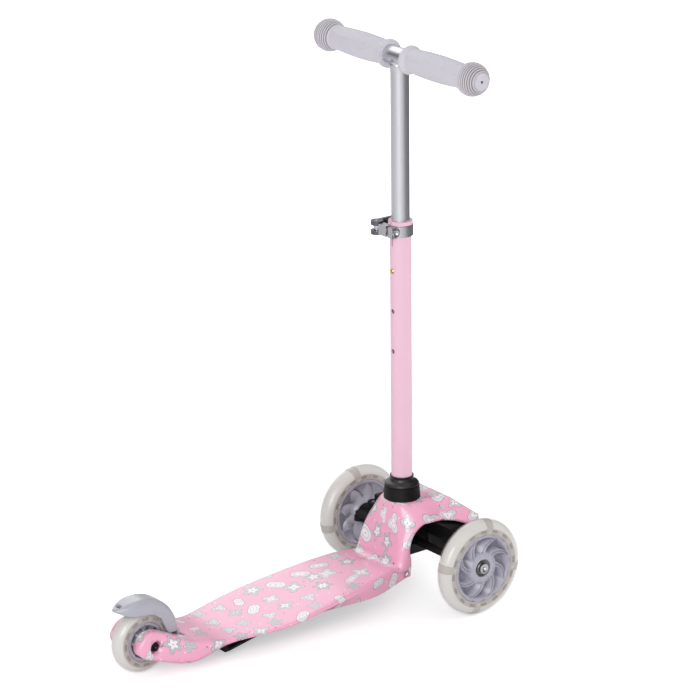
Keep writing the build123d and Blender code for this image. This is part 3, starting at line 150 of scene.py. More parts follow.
class ScooterColours(bpy.types.PropertyGroup):
    """Colours of the finishes"""

    deck_pink: colour("Deck pink", "Ground of the printed shell", "F2AAC6")
    print_white: colour("Print white", "Lightest motifs of the print", "F1E9ED")
    print_grey: colour("Print grey", "Darkest motifs of the print", "BDB9C1")
    print_line: colour("Print line", "Outlines of the motifs", "8B8490")
    print_red: colour("Print red", "Small dark dots of the print", "8E2236")
    stem_pink: colour("Stem pink", "Powder coat of the stem tube", "ECC3D5")
    black_plastic: colour("Black plastic", "Moulded belly, carrier and knuckles", "0B0A0B")
    black_rubber: colour("Black rubber", "Boot, bumpers and brake pad", "181618")
    grip_grey: colour("Grip grey", "Soft grips", "CDCAD4")
    # Painted shade: the floors of the rings round the grips' ends take this darker, browner rubber
    grip_groove_shade: colour("Grip rings", "Painted shade in the rings round the grips' ends", "9E9396")
    hub_grey: colour("Hub grey", "Nylon wheel hubs", "AFACBA")
    fender_grey: colour("Fender grey", "Moulded rear fender", "ACACB7")
    tyre_clear: colour("Tyre skin", "Clear skin of the cast tyres", "EDEAE6")
    tyre_core: colour("Tyre core", "Milky core of the cast tyres", "D9D6D3")
    tyre_foot: colour("Tyre foot", "Core of the tyres over the hub's rim", "B0A7A1")
    tyre_lug: colour("Tyre lugs", "Hub lugs that show through the tyres", "80766F")
    window_grey: colour("Light window", "Clear windows over the light modules", "B4ABA4")
    lens_clear: colour("Light module", "Clear light modules in the front tyres", "F2F2EE")
    bar_silver: colour("Bar silver", "Satin aluminium handlebar", "D4D4DA")
    clamp_silver: colour("Clamp silver", "Cast clamp", "C2C2C6")
    lever_dark: colour("Lever chrome", "Dark chromed clamp lever", "6B6C72")
    brass: colour("Brass", "Height button", "C99F55")
    zinc: colour("Zinc", "Plated bolts and screws", "C9CCD0")
    # Painted shade: the rear axle's bolt and nut are made near black for the shade deep in the fork's recess
    shaded_axle_hue: colour("Near-black axle steel as recess shade", "Near-black rear axle, painted shade for its recess", "2B2A2C")
    bearing: colour("Bearing steel", "Bearings, spring and spacers", "8A8886")
    floor: colour("Floor", "Plain pale floor", "F4F4F5")


class ScooterSizes(bpy.types.PropertyGroup):
    """Sizes that shape the looks"""

    fender_voxel: size("Fender mesh", "Mesh size of the fender", 1.0)
    motif_spacing: size("Motif spacing", "Distance between the print's motifs", 29.0)
    motif_radius: size("Motif radius", "Mean radius of the print's motifs", 11.0)
    print_outline: size("Outline", "Width of the motifs' outlines", 0.6)
    stipple: size("Stipple", "Distance between the fine dots in the darker motifs", 1.7)
    heart_radius: size("Heart radius", "Radius of the dot in the middle of each motif", 0.8)
    fleck_spacing: size("Fleck spacing", "Distance between the print's small dots", 15.0)
    white_fleck: size("White fleck", "Radius of the small white dots", 1.0)
    red_fleck: size("Red fleck", "Radius of the small dark red dots", 0.9)
    lacquer_wave: size("Lacquer wave", "Length of the waves in the lacquer over the print", 4.0)
    shell_edge: size("Shell edge", "Rounding of the printed shell's edges", 2.5)
    cast_wave: size("Cast wave", "Length of the waves in the clear cast tyres", 9.0)
    emboss_radius: size("Emboss radius", "Radius at which the rings on the grips are laid out", 15.0)
    emboss_spacing: size("Emboss spacing", "Distance between the raised rings on the grips", 12.0)
    emboss_depth: size("Emboss depth", "Height of the raised rings on the grips", 0.22)
    soft_edge: size("Soft edge", "Rounding of moulded and cast edges", 0.5)
    front_rim: size("Front rim", "Radius of the front hubs' rims", 41.7)
    rear_rim: size("Rear rim", "Radius of the rear hub's rim", 23.6)
    tyre_shoulder: size("Tyre shoulder", "Depth of the tyres' round crown", 10.0)
    tyre_skin: size("Tyre skin", "Thickness of clear cast over the tyres' cores", 1.8)
    lug_length: size("Lug length", "Length of the lugs in the tyres, round the rim", 8.0)
    lug_height: size("Lug height", "Height of the lugs in the tyres", 3.2)
    groove_depth: size("Groove depth", "Depth of the rings round the grips' ends", 1.3)
    view_azimuth: angle("Camera azimuth", "Turn of the camera round the scooter", -37.538)
    view_elevation: angle("Camera elevation", "Height of the camera above the horizon", 19.431)
    view_roll: angle("Camera roll", "Turn of the camera about its own line of sight", -0.605)
    view_place: bpy.props.FloatVectorProperty(
        name="Camera place",
        description="Where the camera stands",
        default=(-2.257586, -3.059710, 1.684703),
        subtype="TRANSLATION",
        unit="LENGTH",
    )
    view_lens: bpy.props.FloatProperty(
        name="Lens", description="Focal length on a 36 mm sensor", default=179.46, unit="CAMERA"
    )


def set_inputs(owner, node, inputs):
    """Give each named socket of a node its value, or link it from a socket or a node's first output."""
    for socket, value in inputs.items():
        if isinstance(value, bpy.types.Node):
            value = value.outputs[0]
        if isinstance(value, bpy.types.NodeSocket):
            owner.node_tree.links.new(value, node.inputs[socket])
        else:
            node.inputs[socket].default_value = value


def add_node(owner, kind, inputs=None, **settings):
    """Add a shader node of a kind, with its settings and inputs, to a material or world."""
    node = owner.node_tree.nodes.new(f"ShaderNode{kind}")
    for field, value in settings.items():
        setattr(node, field, value)
    set_inputs(owner, node, inputs or {})
    return node


def new_finish(name, sockets):
    """New material with its shader, whose sockets hold the values that are the same all over."""
    material = bpy.data.materials.new(name)
    material.use_nodes = True
    shader = material.node_tree.nodes["Principled BSDF"]
    set_inputs(material, shader, sockets)
    return material, shader


def tint(hue, share):
    """A colour made lighter or darker by a share of itself, with full alpha."""
    return (*(min(1.0, channel * share) for channel in hue), 1.0)


def colours():
    return bpy.context.scene.scooter_colours


def sizes():
    return bpy.context.scene.scooter_sizes


def soft_relief(material, height, depth, rounding):
    """Normal of a surface with a fine relief and soft edges."""
    edge = add_node(material, "Bevel", {"Radius": rounding}, samples=4)
    return add_node(material, "Bump", {"Distance": depth, "Height": height, "Normal": edge})


def moulded(name, hue, roughness, swing, grain, relief, sockets):
    """Moulded plastic or rubber that swings in shade, with a mould's grain of a width and relief in mm.

    The grain is drawn coarse enough to show.
    """
    material, shader = new_finish(name, {"Roughness": roughness, **sockets})
    place = add_node(material, "TexCoord").outputs["Object"]
    fine = add_node(material, "TexNoise", {"Vector": place, "Scale": 1 / (grain * MM), "Detail": 2.0})
    slow = add_node(material, "TexNoise", {"Vector": place, "Scale": 1 / CLOUD, "Detail": 1.0})
    shades = {0: slow, 6: tint(hue, 1 - swing), 7: tint(hue, 1 + swing)}
    limits = {3: roughness - GLOSS_SWING, 4: roughness + GLOSS_SWING}
    surface = {
        "Base Color": add_node(material, "Mix", shades, data_type="RGBA").outputs[2],
        "Roughness": add_node(material, "MapRange", {0: fine, **limits}),
        "Normal": soft_relief(material, fine, relief * MM, sizes().soft_edge),
    }
    set_inputs(material, shader, surface)
    return material


def metal(name, hue, roughness, streak, relief):
    """Worked metal with streaks or grit of lengths along X, Y and Z and a relief in mm.

    They are drawn coarse enough to show.
    """
    material, shader = new_finish(name, {"Metallic": 1.0})
    place = add_node(material, "TexCoord").outputs["Object"]
    stretch = {"Vector": place, "Scale": [1 / (length * MM) for length in streak]}
    grit = {"Vector": add_node(material, "Mapping", stretch), "Scale": 1.0, "Detail": 3.0}
    lines = add_node(material, "TexNoise", grit)
    shades = {0: lines, 6: tint(hue, METAL_SHADES[0]), 7: tint(hue, METAL_SHADES[1])}
    limits = {3: roughness * METAL_GLOSS[0], 4: roughness * METAL_GLOSS[1]}
    surface = {
        "Base Color": add_node(material, "Mix", shades, data_type="RGBA").outputs[2],
        "Roughness": add_node(material, "MapRange", {0: lines, **limits}),
        "Normal": soft_relief(material, lines, relief * MM, sizes().soft_edge),
    }
    set_inputs(material, shader, surface)
    return material


def printed_abs():
    """Glossy ABS with a transfer print of petals and dots under lacquer, laid out on its own map."""
    c = colours()
    s = sizes()
    white, grey, outline = (*c.print_white, 1), (*c.print_grey, 1), (*c.print_line, 1)
    material, shader = new_finish(
        "Printed ABS", {"IOR": 1.53, "Roughness": 0.28, "Coat Weight": 0.5, "Coat Roughness": 0.08}
    )
    node = partial(add_node, material)
    place = node("UVMap", uv_map="print")

    def motif_cell(spacing, randomness):
        """Offset from the nearest motif's middle, its length and three random shares of that motif."""
        spread = {"Vector": place, "Scale": 1 / spacing, "Randomness": randomness}
        cell = node("TexVoronoi", spread, voronoi_dimensions="2D")
        arm = {0: place, 1: cell.outputs["Position"]}
        offset = node("VectorMath", arm, operation="SUBTRACT")
        distance = node("VectorMath", {0: offset}, operation="LENGTH").outputs["Value"]
        return offset, distance, node("SeparateColor", {0: cell.outputs["Color"]}).outputs

    # Petal motifs: a wavy circle whose count of lobes, turn, size and shade differ from cell to cell
    offset, radius, pick = motif_cell(s.motif_spacing, 0.5)
    spin = node("Math", {0: pick[0], 1: 2 * pi}, operation="MULTIPLY")
    turned = node("VectorRotate", {"Vector": offset, "Angle": spin}, rotation_type="Z_AXIS")
    axes = node("SeparateXYZ", {0: turned}).outputs
    around = node("Math", {0: axes[1], 1: axes[0]}, operation="ARCTAN2")
    share = node("Math", {0: pick[1], 1: 4.0, 2: 1.6}, operation="MULTIPLY_ADD")
    lobes = node("Math", {0: share}, operation="ROUND")
    phase = node("Math", {0: lobes, 1: around}, operation="MULTIPLY")
    wave = node("Math", {0: phase}, operation="COSINE")
    spread = {0: pick[2], 1: 0.4 * s.motif_radius, 2: 0.8 * s.motif_radius}
    reach = node("Math", spread, operation="MULTIPLY_ADD")
    swell = node("Math", {0: wave, 1: 0.22, 2: 0.78}, operation="MULTIPLY_ADD")
    edge = node("Math", {0: reach, 1: swell}, operation="MULTIPLY")
    inside = node("Math", {0: radius, 1: edge}, operation="LESS_THAN")
    line = node("Math", {0: radius, 1: edge, 2: s.print_outline / 2}, operation="COMPARE")
    # A second, smaller outline and a heart inside each motif, and fine dots in the darker ones
    inner_edge = node("Math", {0: edge, 1: 0.55}, operation="MULTIPLY")
    inner = node("Math", {0: radius, 1: inner_edge}, operation="LESS_THAN")
    inner_line = node("Math", {0: radius, 1: inner_edge, 2: s.print_outline / 3}, operation="COMPARE")
    heart = node("Math", {0: radius, 1: s.heart_radius}, operation="LESS_THAN")
    _, near, _ = motif_cell(s.stipple, 0.4)
    dot = node("Math", {0: near, 1: 0.24 * s.stipple}, operation="LESS_THAN")
    dotted = node("Math", {0: pick[0], 1: 0.45}, operation="GREATER_THAN")
    speck = node("Math", {0: dot, 1: dotted}, operation="MULTIPLY")
    filled = node("Math", {0: pick[2], 1: 0.4}, operation="GREATER_THAN")
    centre = node("Math", {0: inner, 1: filled}, operation="MULTIPLY")
    border = node("Math", {0: 1.0, 1: inner}, operation="SUBTRACT")
    stipple = node("Math", {0: speck, 1: border}, operation="MULTIPLY")
    lines = node("Math", {0: line, 1: inner_line}, operation="MAXIMUM")
    drawn = node("Math", {0: lines, 1: heart}, operation="MAXIMUM")
    # Flecks between the motifs: small white and dark red dots in some of the cells
    _, near, chance = motif_cell(s.fleck_spacing, 0.9)
    motif = node("Math", {0: inside, 1: line}, operation="MAXIMUM")
    outside = node("Math", {0: 1.0, 1: motif}, operation="SUBTRACT")
    flecks = []
    for fleck_radius, test, limit in ((s.white_fleck, "LESS_THAN", 0.4), (s.red_fleck, "GREATER_THAN", 0.8)):
        spot = node("Math", {0: near, 1: fleck_radius}, operation="LESS_THAN")
        chosen = node("Math", {0: chance[0], 1: limit}, operation=test)
        spot = node("Math", {0: spot, 1: chosen}, operation="MULTIPLY")
        flecks.append(node("Math", {0: spot, 1: outside}, operation="MULTIPLY"))
    # Colours over each other: the motif's own, the pink ground round it, its lines and the flecks
    ground = node("Math", {0: 1.0, 1: inside}, operation="SUBTRACT")
    hue = node("Mix", {0: pick[1], 6: white, 7: grey}, data_type="RGBA").outputs[2]
    for cover, ink in (
        (centre, white),
        (stipple, outline),
        (ground, (*c.deck_pink, 1)),
        (drawn, outline),
        (flecks[0], white),
        (flecks[1], (*c.print_red, 1)),
    ):
        hue = node("Mix", {0: cover, 6: hue, 7: ink}, data_type="RGBA").outputs[2]
    # Faint waviness of lacquer over the moulding
    solid = node("TexCoord").outputs["Object"]
    peel = node("TexNoise", {"Vector": solid, "Scale": 1 / s.lacquer_wave, "Detail": 1.0})
    normal = soft_relief(material, peel, 0.02 * MM, s.shell_edge)
    set_inputs(material, shader, {"Base Color": hue, "Normal": normal})
    return material


def cast_polyurethane():
    """Clear cast polyurethane: glossy, slightly milky and wavy, with the core showing through."""
    material, shader = new_finish("Cast polyurethane", {"IOR": 1.49, "Roughness": 0.1, "Alpha": 0.2})
    place = add_node(material, "TexCoord").outputs["Object"]
    wave = {"Vector": place, "Scale": 1 / sizes().cast_wave, "Detail": 2.0}
    cloud = add_node(material, "TexNoise", wave)
    hue = colours().tyre_clear
    shades = {0: cloud, 6: tint(hue, CAST_SHADES[0]), 7: tint(hue, CAST_SHADES[1])}
    surface = {
        "Base Color": add_node(material, "Mix", shades, data_type="RGBA").outputs[2],
        "Normal": add_node(material, "Bump", {"Distance": 0.05 * MM, "Height": cloud}),
    }
    set_inputs(material, shader, surface)
    return material


def embossed(material):
    """Add faint raised rings, moulded all round the grips, to a finish."""
    s = sizes()
    shader = material.node_tree.nodes["Principled BSDF"]
    node = partial(add_node, material)
    place = node("TexCoord").outputs["Object"]
    arm = node("VectorMath", {0: place, 1: BAR_AXIS}, operation="SUBTRACT")
    axes = node("SeparateXYZ", {0: arm}).outputs
    turn = node("Math", {0: axes[2], 1: axes[0]}, operation="ARCTAN2")
    round_bar = node("Math", {0: turn, 1: s.emboss_radius}, operation="MULTIPLY")
    flat = node("CombineXYZ", {0: round_bar, 1: axes[1]})
    spread = {"Vector": flat, "Scale": 1 / s.emboss_spacing, "Randomness": 0.6}
    cell = node("TexVoronoi", spread, voronoi_dimensions="2D")
    ring = node("Math", {0: cell.outputs["Distance"], 1: 0.3}, operation="SUBTRACT")
    ring = node("Math", {0: ring}, operation="ABSOLUTE")
    fall = {0: ring, 1: 0.0, 2: 0.1, 3: 1.0, 4: 0.0}
    raised = node("MapRange", fall, interpolation_type="SMOOTHSTEP")
    grain = shader.inputs["Normal"].links[0].from_socket
    relief = {"Distance": s.emboss_depth, "Height": raised, "Normal": grain}
    set_inputs(material, shader, {"Normal": node("Bump", relief)})
    return material


@cache
def finishes():
    """Every finish of the scooter by the record's slot."""
    c = colours()
    satin = {"IOR": 1.49, "Specular IOR Level": 0.25}
    coated = {"IOR": 1.53, "Coat Weight": 0.5, "Coat Roughness": 0.12}
    enamel = {"IOR": 1.5, "Specular IOR Level": 0.4}
    soft = {"IOR": 1.5, "Sheen Weight": 0.15}
    clear = {"IOR": 1.58, "Transmission Weight": 0.4}
    gel = {"IOR": 1.49, "Coat Weight": 0.6, "Coat Roughness": 0.06}
    return {
        # Injection-moulded polypropylene: near black, satin from a fine spark-eroded mould
        "black_plastic": moulded("Moulded polypropylene", c.black_plastic, 0.5, 0.15, 0.8, 0.04, satin),
        # Moulded rubber: a little greyer and duller, with mould bloom
        "black_rubber": moulded("Moulded rubber", c.black_rubber, 0.36, 0.2, 1.2, 0.03, {"IOR": 1.52}),
        # Bright zinc plate on turned steel: small bright facets with a faint drift
        "zinc_steel": metal("Zinc-plated steel", c.zinc, 0.22, (0.6, 0.6, 0.6), 0.01),
        # Ground bearing steel: darker and finely streaked
        "bearing_steel": metal("Bearing steel", c.bearing, 0.3, (0.5, 0.5, 0.5), 0.01),
        # Powder coat on steel tube: even satin with a slight orange peel
        "pink_enamel": moulded("Powder coat", c.stem_pink, 0.42, 0.02, 1.6, 0.03, enamel),
        # Satin anodised aluminium tube: fine drawing lines along the tube
        "satin_aluminium": metal("Anodised aluminium", c.bar_silver, 0.34, (0.5, 0.5, 40), 0.006),
        # Cast and tumbled aluminium clamp: bright with soft pits
        "clamp_aluminium": metal("Tumbled aluminium", c.clamp_silver, 0.26, (1.5, 1.5, 1.5), 0.03),
        # Dark chrome on a stamped lever: mirror with a slow ripple
        "dark_chrome": metal("Dark chrome", c.lever_dark, 0.16, (6, 6, 6), 0.05),
        # Turned brass: warm and bright
        "brass": metal("Turned brass", c.brass, 0.2, (0.5, 0.5, 0.5), 0.01),
        # Near-black turned steel with an oily sheen, made black as painted shade for the deep recess round
        # the rear axle
        "shaded_axle_black": metal("Near-black axle steel as recess shade", c.shaded_axle_hue, 0.34, (0.6, 0.6, 0.6), 0.01),
        # Soft grip rubber: matt, with a fine grain, faint raised rings and a weak bloom at the rims
        "grip_rubber": embossed(moulded("Thermoplastic rubber", c.grip_grey, 0.48, 0.03, 0.7, 0.05, soft)),
        # Painted shade on the floors of the rings round the grips' ends: duller, browner and darker than the
        # rubber round it
        "grip_groove_shade": moulded("Rubber in painted groove shade", c.grip_groove_shade, 0.6, 0.05, 0.7, 0.05, {"IOR": 1.5}),
        # Moulded nylon hubs: lavender grey with a satin skin
        "hub_plastic": moulded("Moulded nylon", c.hub_grey, 0.26, 0.05, 1, 0.02, {"IOR": 1.53}),
        # Moulded ABS fender: smooth satin, faint flow marks
        "fender_plastic": moulded("Moulded ABS", c.fender_grey, 0.3, 0.03, 3, 0.02, coated),
        # Clear polycarbonate of the light modules over bright chips
        "led_clear": moulded("Clear polycarbonate", c.lens_clear, 0.15, 0.03, 2, 0.02, clear),
        # Clear cast over a milky core, which is taupe over the hub's rim and darker at lugs and windows
        "clear_tyre": cast_polyurethane(),
        "tyre_core": moulded("Milky polyurethane", c.tyre_core, 0.3, 0.04, 6, 0.02, gel),
        "tyre_foot": moulded("Shaded polyurethane", c.tyre_foot, 0.3, 0.06, 6, 0.02, gel),
        "tyre_lug": moulded("Nylon lugs", c.tyre_lug, 0.4, 0.08, 2, 0.02, gel),
        "tyre_window": moulded("Light window", c.window_grey, 0.2, 0.1, 2, 0.02, gel),
    }


def finish_of(slot):
    """The finish for a slot of the record."""
    return finishes()[slot]


def copy_of(node):
    """Merged bmesh of a CAD node."""
    bm = bmesh.new()
    bm.from_mesh(frame["nodes"][node].data)
    bmesh.ops.remove_doubles(bm, verts=bm.verts, dist=MERGE)
    return bm


def new_piece(name, bm, *materials):
    """Object at the origin from a finished bmesh, smooth except at sharp edges."""
    mesh = bpy.data.meshes.new(name)
    bm.to_mesh(mesh)
    bm.free()
    for material in materials:
        mesh.materials.append(material)
    mesh.shade_smooth()
    mesh.set_sharp_from_angle(angle=SHARP)
    piece = bpy.data.objects.new(name, mesh)
    bpy.context.scene.collection.objects.link(piece)
    return piece


def shade_round(piece, axis):
    """Shade the outer walls of a tube as truly round about an upright axis, whatever its triangles."""
    mesh = piece.data
    arms = [Vector((vert.co.x - axis.x, vert.co.y - axis.y, 0)).normalized() for vert in mesh.vertices]
    normals = [corner.vector.copy() for corner in mesh.corner_normals]
    for polygon in mesh.polygons:
        if all(polygon.normal.dot(arms[i]) > ROUND_WALL for i in polygon.vertices):
            for i, loop in zip(polygon.vertices, polygon.loop_indices):
                normals[loop] = arms[i]
    mesh.normals_split_custom_set(normals)


def ride_along(piece, node):
    """The piece moves with a node."""
    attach(piece, BODY_OF[node])


def stands_for(piece, node):
    """The piece rides where its node does and is shown in its place."""
    ride_along(piece, node)
    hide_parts(node)


def give_way(piece, node):
    """Soft piece in place of a node, with its place baked into its mesh."""
    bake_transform(piece)
    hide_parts(node)


def dress(node, material=None):
    """Smooth-shaded copy of a node whose shape is right, in its finish."""
    piece = new_piece(f"{node}_skin", copy_of(node), material or finish_of(SLOT_OF[node]))
    stands_for(piece, node)
    return piece


def paint(*nodes):
    """Give carried-over nodes the finish of their slot."""
    for node in nodes:
        for slot in frame["nodes"][node].material_slots:
            slot.material = finish_of(SLOT_OF[node])


def evenly_meshed(bm, voxel):
    """The same closed shape in even small quads that lie on its faces and along its sharp edges."""
    tree = BVHTree.FromBMesh(bm)
    edges = edge_points(bm, voxel / 4)
    mesh = bpy.data.meshes.new("draft")
    bm.to_mesh(mesh)
    draft = bpy.data.objects.new("draft", mesh)
    bpy.context.scene.collection.objects.link(draft)
    remesh = draft.modifiers.new("Remesh", "REMESH")
    remesh.mode = "VOXEL"
    remesh.voxel_size = voxel
    depsgraph = bpy.context.evaluated_depsgraph_get()
    even = bpy.data.meshes.new_from_object(draft.evaluated_get(depsgraph))
    bm.clear()
    bm.from_mesh(even)
    bpy.data.objects.remove(draft)
    bpy.data.meshes.remove(mesh)
    bpy.data.meshes.remove(even)
    smooth(bm, bm.verts, 2)
    snap = 0.7 * voxel
    free = []
    for vert in bm.verts:
        place, _, distance = edges.find(vert.co)
        if distance < snap:
            vert.co = place
        else:
            vert.co = tree.find_nearest(vert.co)[0]
            free.append(vert)
    smooth(bm, free, 3)
    return bm


def edge_points(bm, step):
    """Tree of points along the sharp edges of a mesh."""
    points = []
    for edge in bm.edges:
        if edge.is_manifold and edge.calc_face_angle() > KEEN:
            start, end = (vert.co for vert in edge.verts)
            count = max(1, round((end - start).length / step))
            points += [start.lerp(end, (i + 0.5) / count) for i in range(count)]
    tree = KDTree(len(points))
    for i, point in enumerate(points):
        tree.insert(point, i)
    tree.balance()
    return tree


def smooth(bm, verts, times):
    """Relax vertices towards their neighbours."""
    for _ in range(times):
        bmesh.ops.smooth_vert(
            bm, verts=verts, factor=0.5, use_axis_x=True, use_axis_y=True, use_axis_z=True
        )


def spun(profile, centre, axis, steps=96):
    """Ring turned from a closed profile of (radius, height) points about an axis through the centre."""
    bm = bmesh.new()
    across = Vector((0, 0, 1))
    verts = [bm.verts.new(centre + across * radius + axis * height) for radius, height in profile]
    edges = [bm.edges.new(pair) for pair in zip(verts, verts[1:] + verts[:1])]
    bmesh.ops.spin(
        bm, geom=verts + edges, cent=centre, axis=axis, angle=2 * pi, steps=steps, use_merge=True
    )
    bmesh.ops.remove_doubles(bm, verts=bm.verts, dist=MERGE)
    bmesh.ops.recalc_face_normals(bm, faces=bm.faces)
    return bm


def wedge(bm, profile, centre, turn, width):
    """Add a short stretch of a ring about the Y axis, with closed ends, to a bmesh."""
    start = Matrix.Rotation(turn - width / 2, 3, "Y") @ Vector((1, 0, 0))
    verts = [bm.verts.new(centre + start * radius + ALONG_Y * height) for radius, height in profile]
    face = bm.faces.new(verts)
    bmesh.ops.spin(
        bm, geom=[face, *face.edges, *verts], cent=centre, axis=ALONG_Y, angle=width, steps=3
    )


def brick(bm, centre, turn, radius, height, extent):
    """Add a rounded brick, set at a radius and height on a turn about the Y axis, to a bmesh."""
    place = (
        Matrix.Translation(centre)
        @ Matrix.Rotation(turn, 4, "Y")
        @ Matrix.Translation((radius, height, 0))
        @ Matrix.Diagonal((*extent, 1))
    )
    cube = bmesh.ops.create_cube(bm, size=1, matrix=place)
    bmesh.ops.bevel(
        bm,
        geom=list({edge for vert in cube["verts"] for edge in vert.link_edges}),
        offset=BRICK_ROUNDING * min(extent),
        affect="EDGES",
        segments=2,
        profile=0.5,
        material=-1,
    )


def tyre_section(rim, outer, half, inset):
    """Closed section of a cast tyre with a round crown, drawn in from its skin by the inset."""
    shoulder = outer - sizes().tyre_shoulder
    half -= inset
    depth = outer - inset - shoulder
    crown = (depth**2 + half**2) / (2 * depth)
    middle = outer - inset - crown
    sweep = atan2(half, shoulder - middle)
    foot = rim + TYRE_ROOM
    rise, run = TYRE_CHAMFER
    return [
        (foot, half - run),
        (foot, run - half),
        (foot + rise, -half),
        (shoulder - run, -half),
        *arc((middle, 0), crown, -sweep, sweep, CROWN_STEPS),
        (shoulder - run, half),
        (foot + rise, half),
    ]


def cast_tyre(node, rim, lugs, windows=0):
    """Clear skin over a milky core, with the hub's lugs and the windows of the lights showing through."""
    s = sizes()
    low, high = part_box(node)
    centre = (low + high) / 2
    outer = (high.z - low.z) / 2
    half = (high.y - low.y) / 2
    skin = spun(tyre_section(rim, outer, half, 0.0), centre, ALONG_Y, SKIN_STEPS)
    stands_for(new_piece(f"{node}_skin", skin, finish_of("clear_tyre")), node)

    core = spun(tyre_section(rim, outer, half, s.tyre_skin), centre, ALONG_Y)
    for face in core.faces:
        arm = face.calc_center_median() - centre
        face.material_index = int((arm.x**2 + arm.z**2) ** 0.5 < rim + TYRE_FOOT * s.lug_height)
    piece = new_piece(f"{node}_core", core, finish_of("tyre_core"), finish_of("tyre_foot"))
    ride_along(piece, node)

    bricks = bmesh.new()
    for i in range(lugs):
        for side in SIDES.values():
            height = side * (half - s.tyre_skin)
            extent = (s.lug_height, MM, s.lug_length)
            brick(bricks, centre, 2 * pi * i / lugs, rim + LUG_SEAT * s.lug_height, height, extent)
    ride_along(new_piece(f"{node}_lugs", bricks, finish_of("tyre_lug")), node)

    if windows:
        panes = bmesh.new()
        chips = bmesh.new()
        pane = tyre_section(rim, outer, half, PANE_INSET * s.tyre_skin)
        hand = 1 if centre.y < 0 else -1
        for i in range(windows):
            turn = 2 * pi * (i / windows + hand * 0.5 / lugs)
            wedge(panes, pane, centre, turn, s.lug_length / (rim + s.lug_height))
            for side in SIDES.values():
                height = side * (half - CHIP_INSET * s.tyre_skin)
                brick(chips, centre, turn, rim + s.lug_height, height, CHIP)
        bmesh.ops.recalc_face_normals(panes, faces=panes.faces)
        piece = new_piece(f"{node}_windows", panes, finish_of("tyre_window"))
        ride_along(piece, node)
        ride_along(new_piece(f"{node}_chips", chips, finish_of("led_clear")), node)


def arc(centre, radius, start, end, count):
    """Points of a round stretch of a profile."""
    turns = [start + (end - start) * i / count for i in range(count + 1)]
    return [(centre[0] + radius * cos(t), centre[1] + radius * sin(t)) for t in turns]


class SCOOTER_OT_printed_shell(bpy.types.Operator):
    """Deck, hood and wings in one glossy printed moulding, black inside"""

    bl_idname = "scooter.printed_shell"
    bl_label = "Printed shell"

    hood_start = 128 * MM
    hood_foot = 50 * MM
    hood_radius = 46 * MM
    fork_start = -150 * MM
    crest = 119 * MM
    top_spread = 0.85
    level = 0.75
    forward = 0.5
    downward = -0.35
    inner_reach = 120 * MM
    tops_step = 4 * MM
    tops_line = 26 * MM
    tops_from = 300 * MM
    tail_room = 10 * MM
    tail_height = 50 * MM
    foot_x = (122 * MM, 148 * MM)
    foot_z = (44 * MM, 66 * MM)
    saddle_x = (150 * MM, 208 * MM)
    saddle_y = (22 * MM, 62 * MM)
    saddle_z = 94 * MM
    crease_passes = 16

    def execute(self, context):
        bm = copy_of("deck_shell")
        tree = BVHTree.FromBMesh(bm)
        self.mark_inside(bm, tree)
        smooth(bm, [vert for vert in bm.verts if self.at_crease(vert)], self.crease_passes)
        tops = self.deck_tops(tree)
        layer = bm.loops.layers.uv.new("print")
        for face in bm.faces:
            for loop in face.loops:
                loop[layer].uv = self.print_place(loop.vert.co, face, tops)
        piece = new_piece("printed_shell", bm, printed_abs(), finish_of("black_plastic"))
        stands_for(piece, "deck_shell")
        return {"FINISHED"}

    def at_crease(self, vert):
        """Whether a vertex off the sharp edges lies at the foot of the hood or in the saddle to a wing."""
        if any(edge.calc_face_angle(0) > KEEN for edge in vert.link_edges):
            return False
        x, y, z = vert.co
        foot = self.foot_x[0] < x < self.foot_x[1] and self.foot_z[0] < z < self.foot_z[1]
        saddle = self.saddle_x[0] < x < self.saddle_x[1] and self.saddle_y[0] < abs(y) < self.saddle_y[1]
        return foot or (saddle and z > self.saddle_z)

    def deck_tops(self, tree):
        """Height of the deck's top along its length, just off the middle."""
        tops = {}
        first = int((CAD_BOX[0].x - self.tail_room) / self.tops_step)
        last = int(self.hood_start / self.tops_step) + 1
        for i in range(first, last + 1):
            above = Vector((i * self.tops_step, self.tops_line, self.tops_from))
            hit = tree.ray_cast(above, Vector((0, 0, -1)))[0]
            tops[i] = hit.z if hit else tops.get(i - 1, self.tail_height)
        return tops

    def mark_inside(self, bm, tree):
        """Give the second finish to smooth patches that, for the most part, look in or down."""
        waiting = set(bm.faces)
        while waiting:
            patch = []
            queue = [waiting.pop()]
            while queue:
                face = queue.pop()
                patch.append(face)
                for edge in face.edges:
                    if edge.is_manifold and edge.calc_face_angle() < KEEN:
                        found = waiting.intersection(edge.link_faces)
                        waiting -= found
                        queue += found
            vote = sum(face.calc_area() * self.looks_in(face, tree) for face in patch)
            for face in patch:
                face.material_index = int(vote > 0)

    def looks_in(self, face, tree):
        """1 for a face that looks into the shell or down from it, else -1."""
        centre = face.calc_center_median()
        if centre.x < self.fork_start:
            return -1
        hit = tree.ray_cast(centre + face.normal * MM / 2, face.normal, self.inner_reach)[0]
        return 1 if face.normal.z < self.downward or hit is not None else -1

    def print_place(self, point, face, tops):
        """Place on the print: flat over the deck, folded down its skirts and wrapped round the hood."""
        centre = face.calc_center_median()
        if centre.x < self.hood_start:
            drop = max(0.0, tops[min(int(point.x // self.tops_step), max(tops))] - point.z)
            return point.x, point.y + drop * (1 if centre.y > 0 else -1)
        if abs(centre.y) > self.hood_radius or face.normal.z > self.level:
            fall = -1 if face.normal.x > self.forward else 1
            return self.top_spread * (point.x + fall * (point.z - self.crest)), point.y
        turn = atan2(point.y, STEM_AXIS.x - point.x)
        return self.hood_start + point.z - self.hood_foot, self.hood_radius * turn


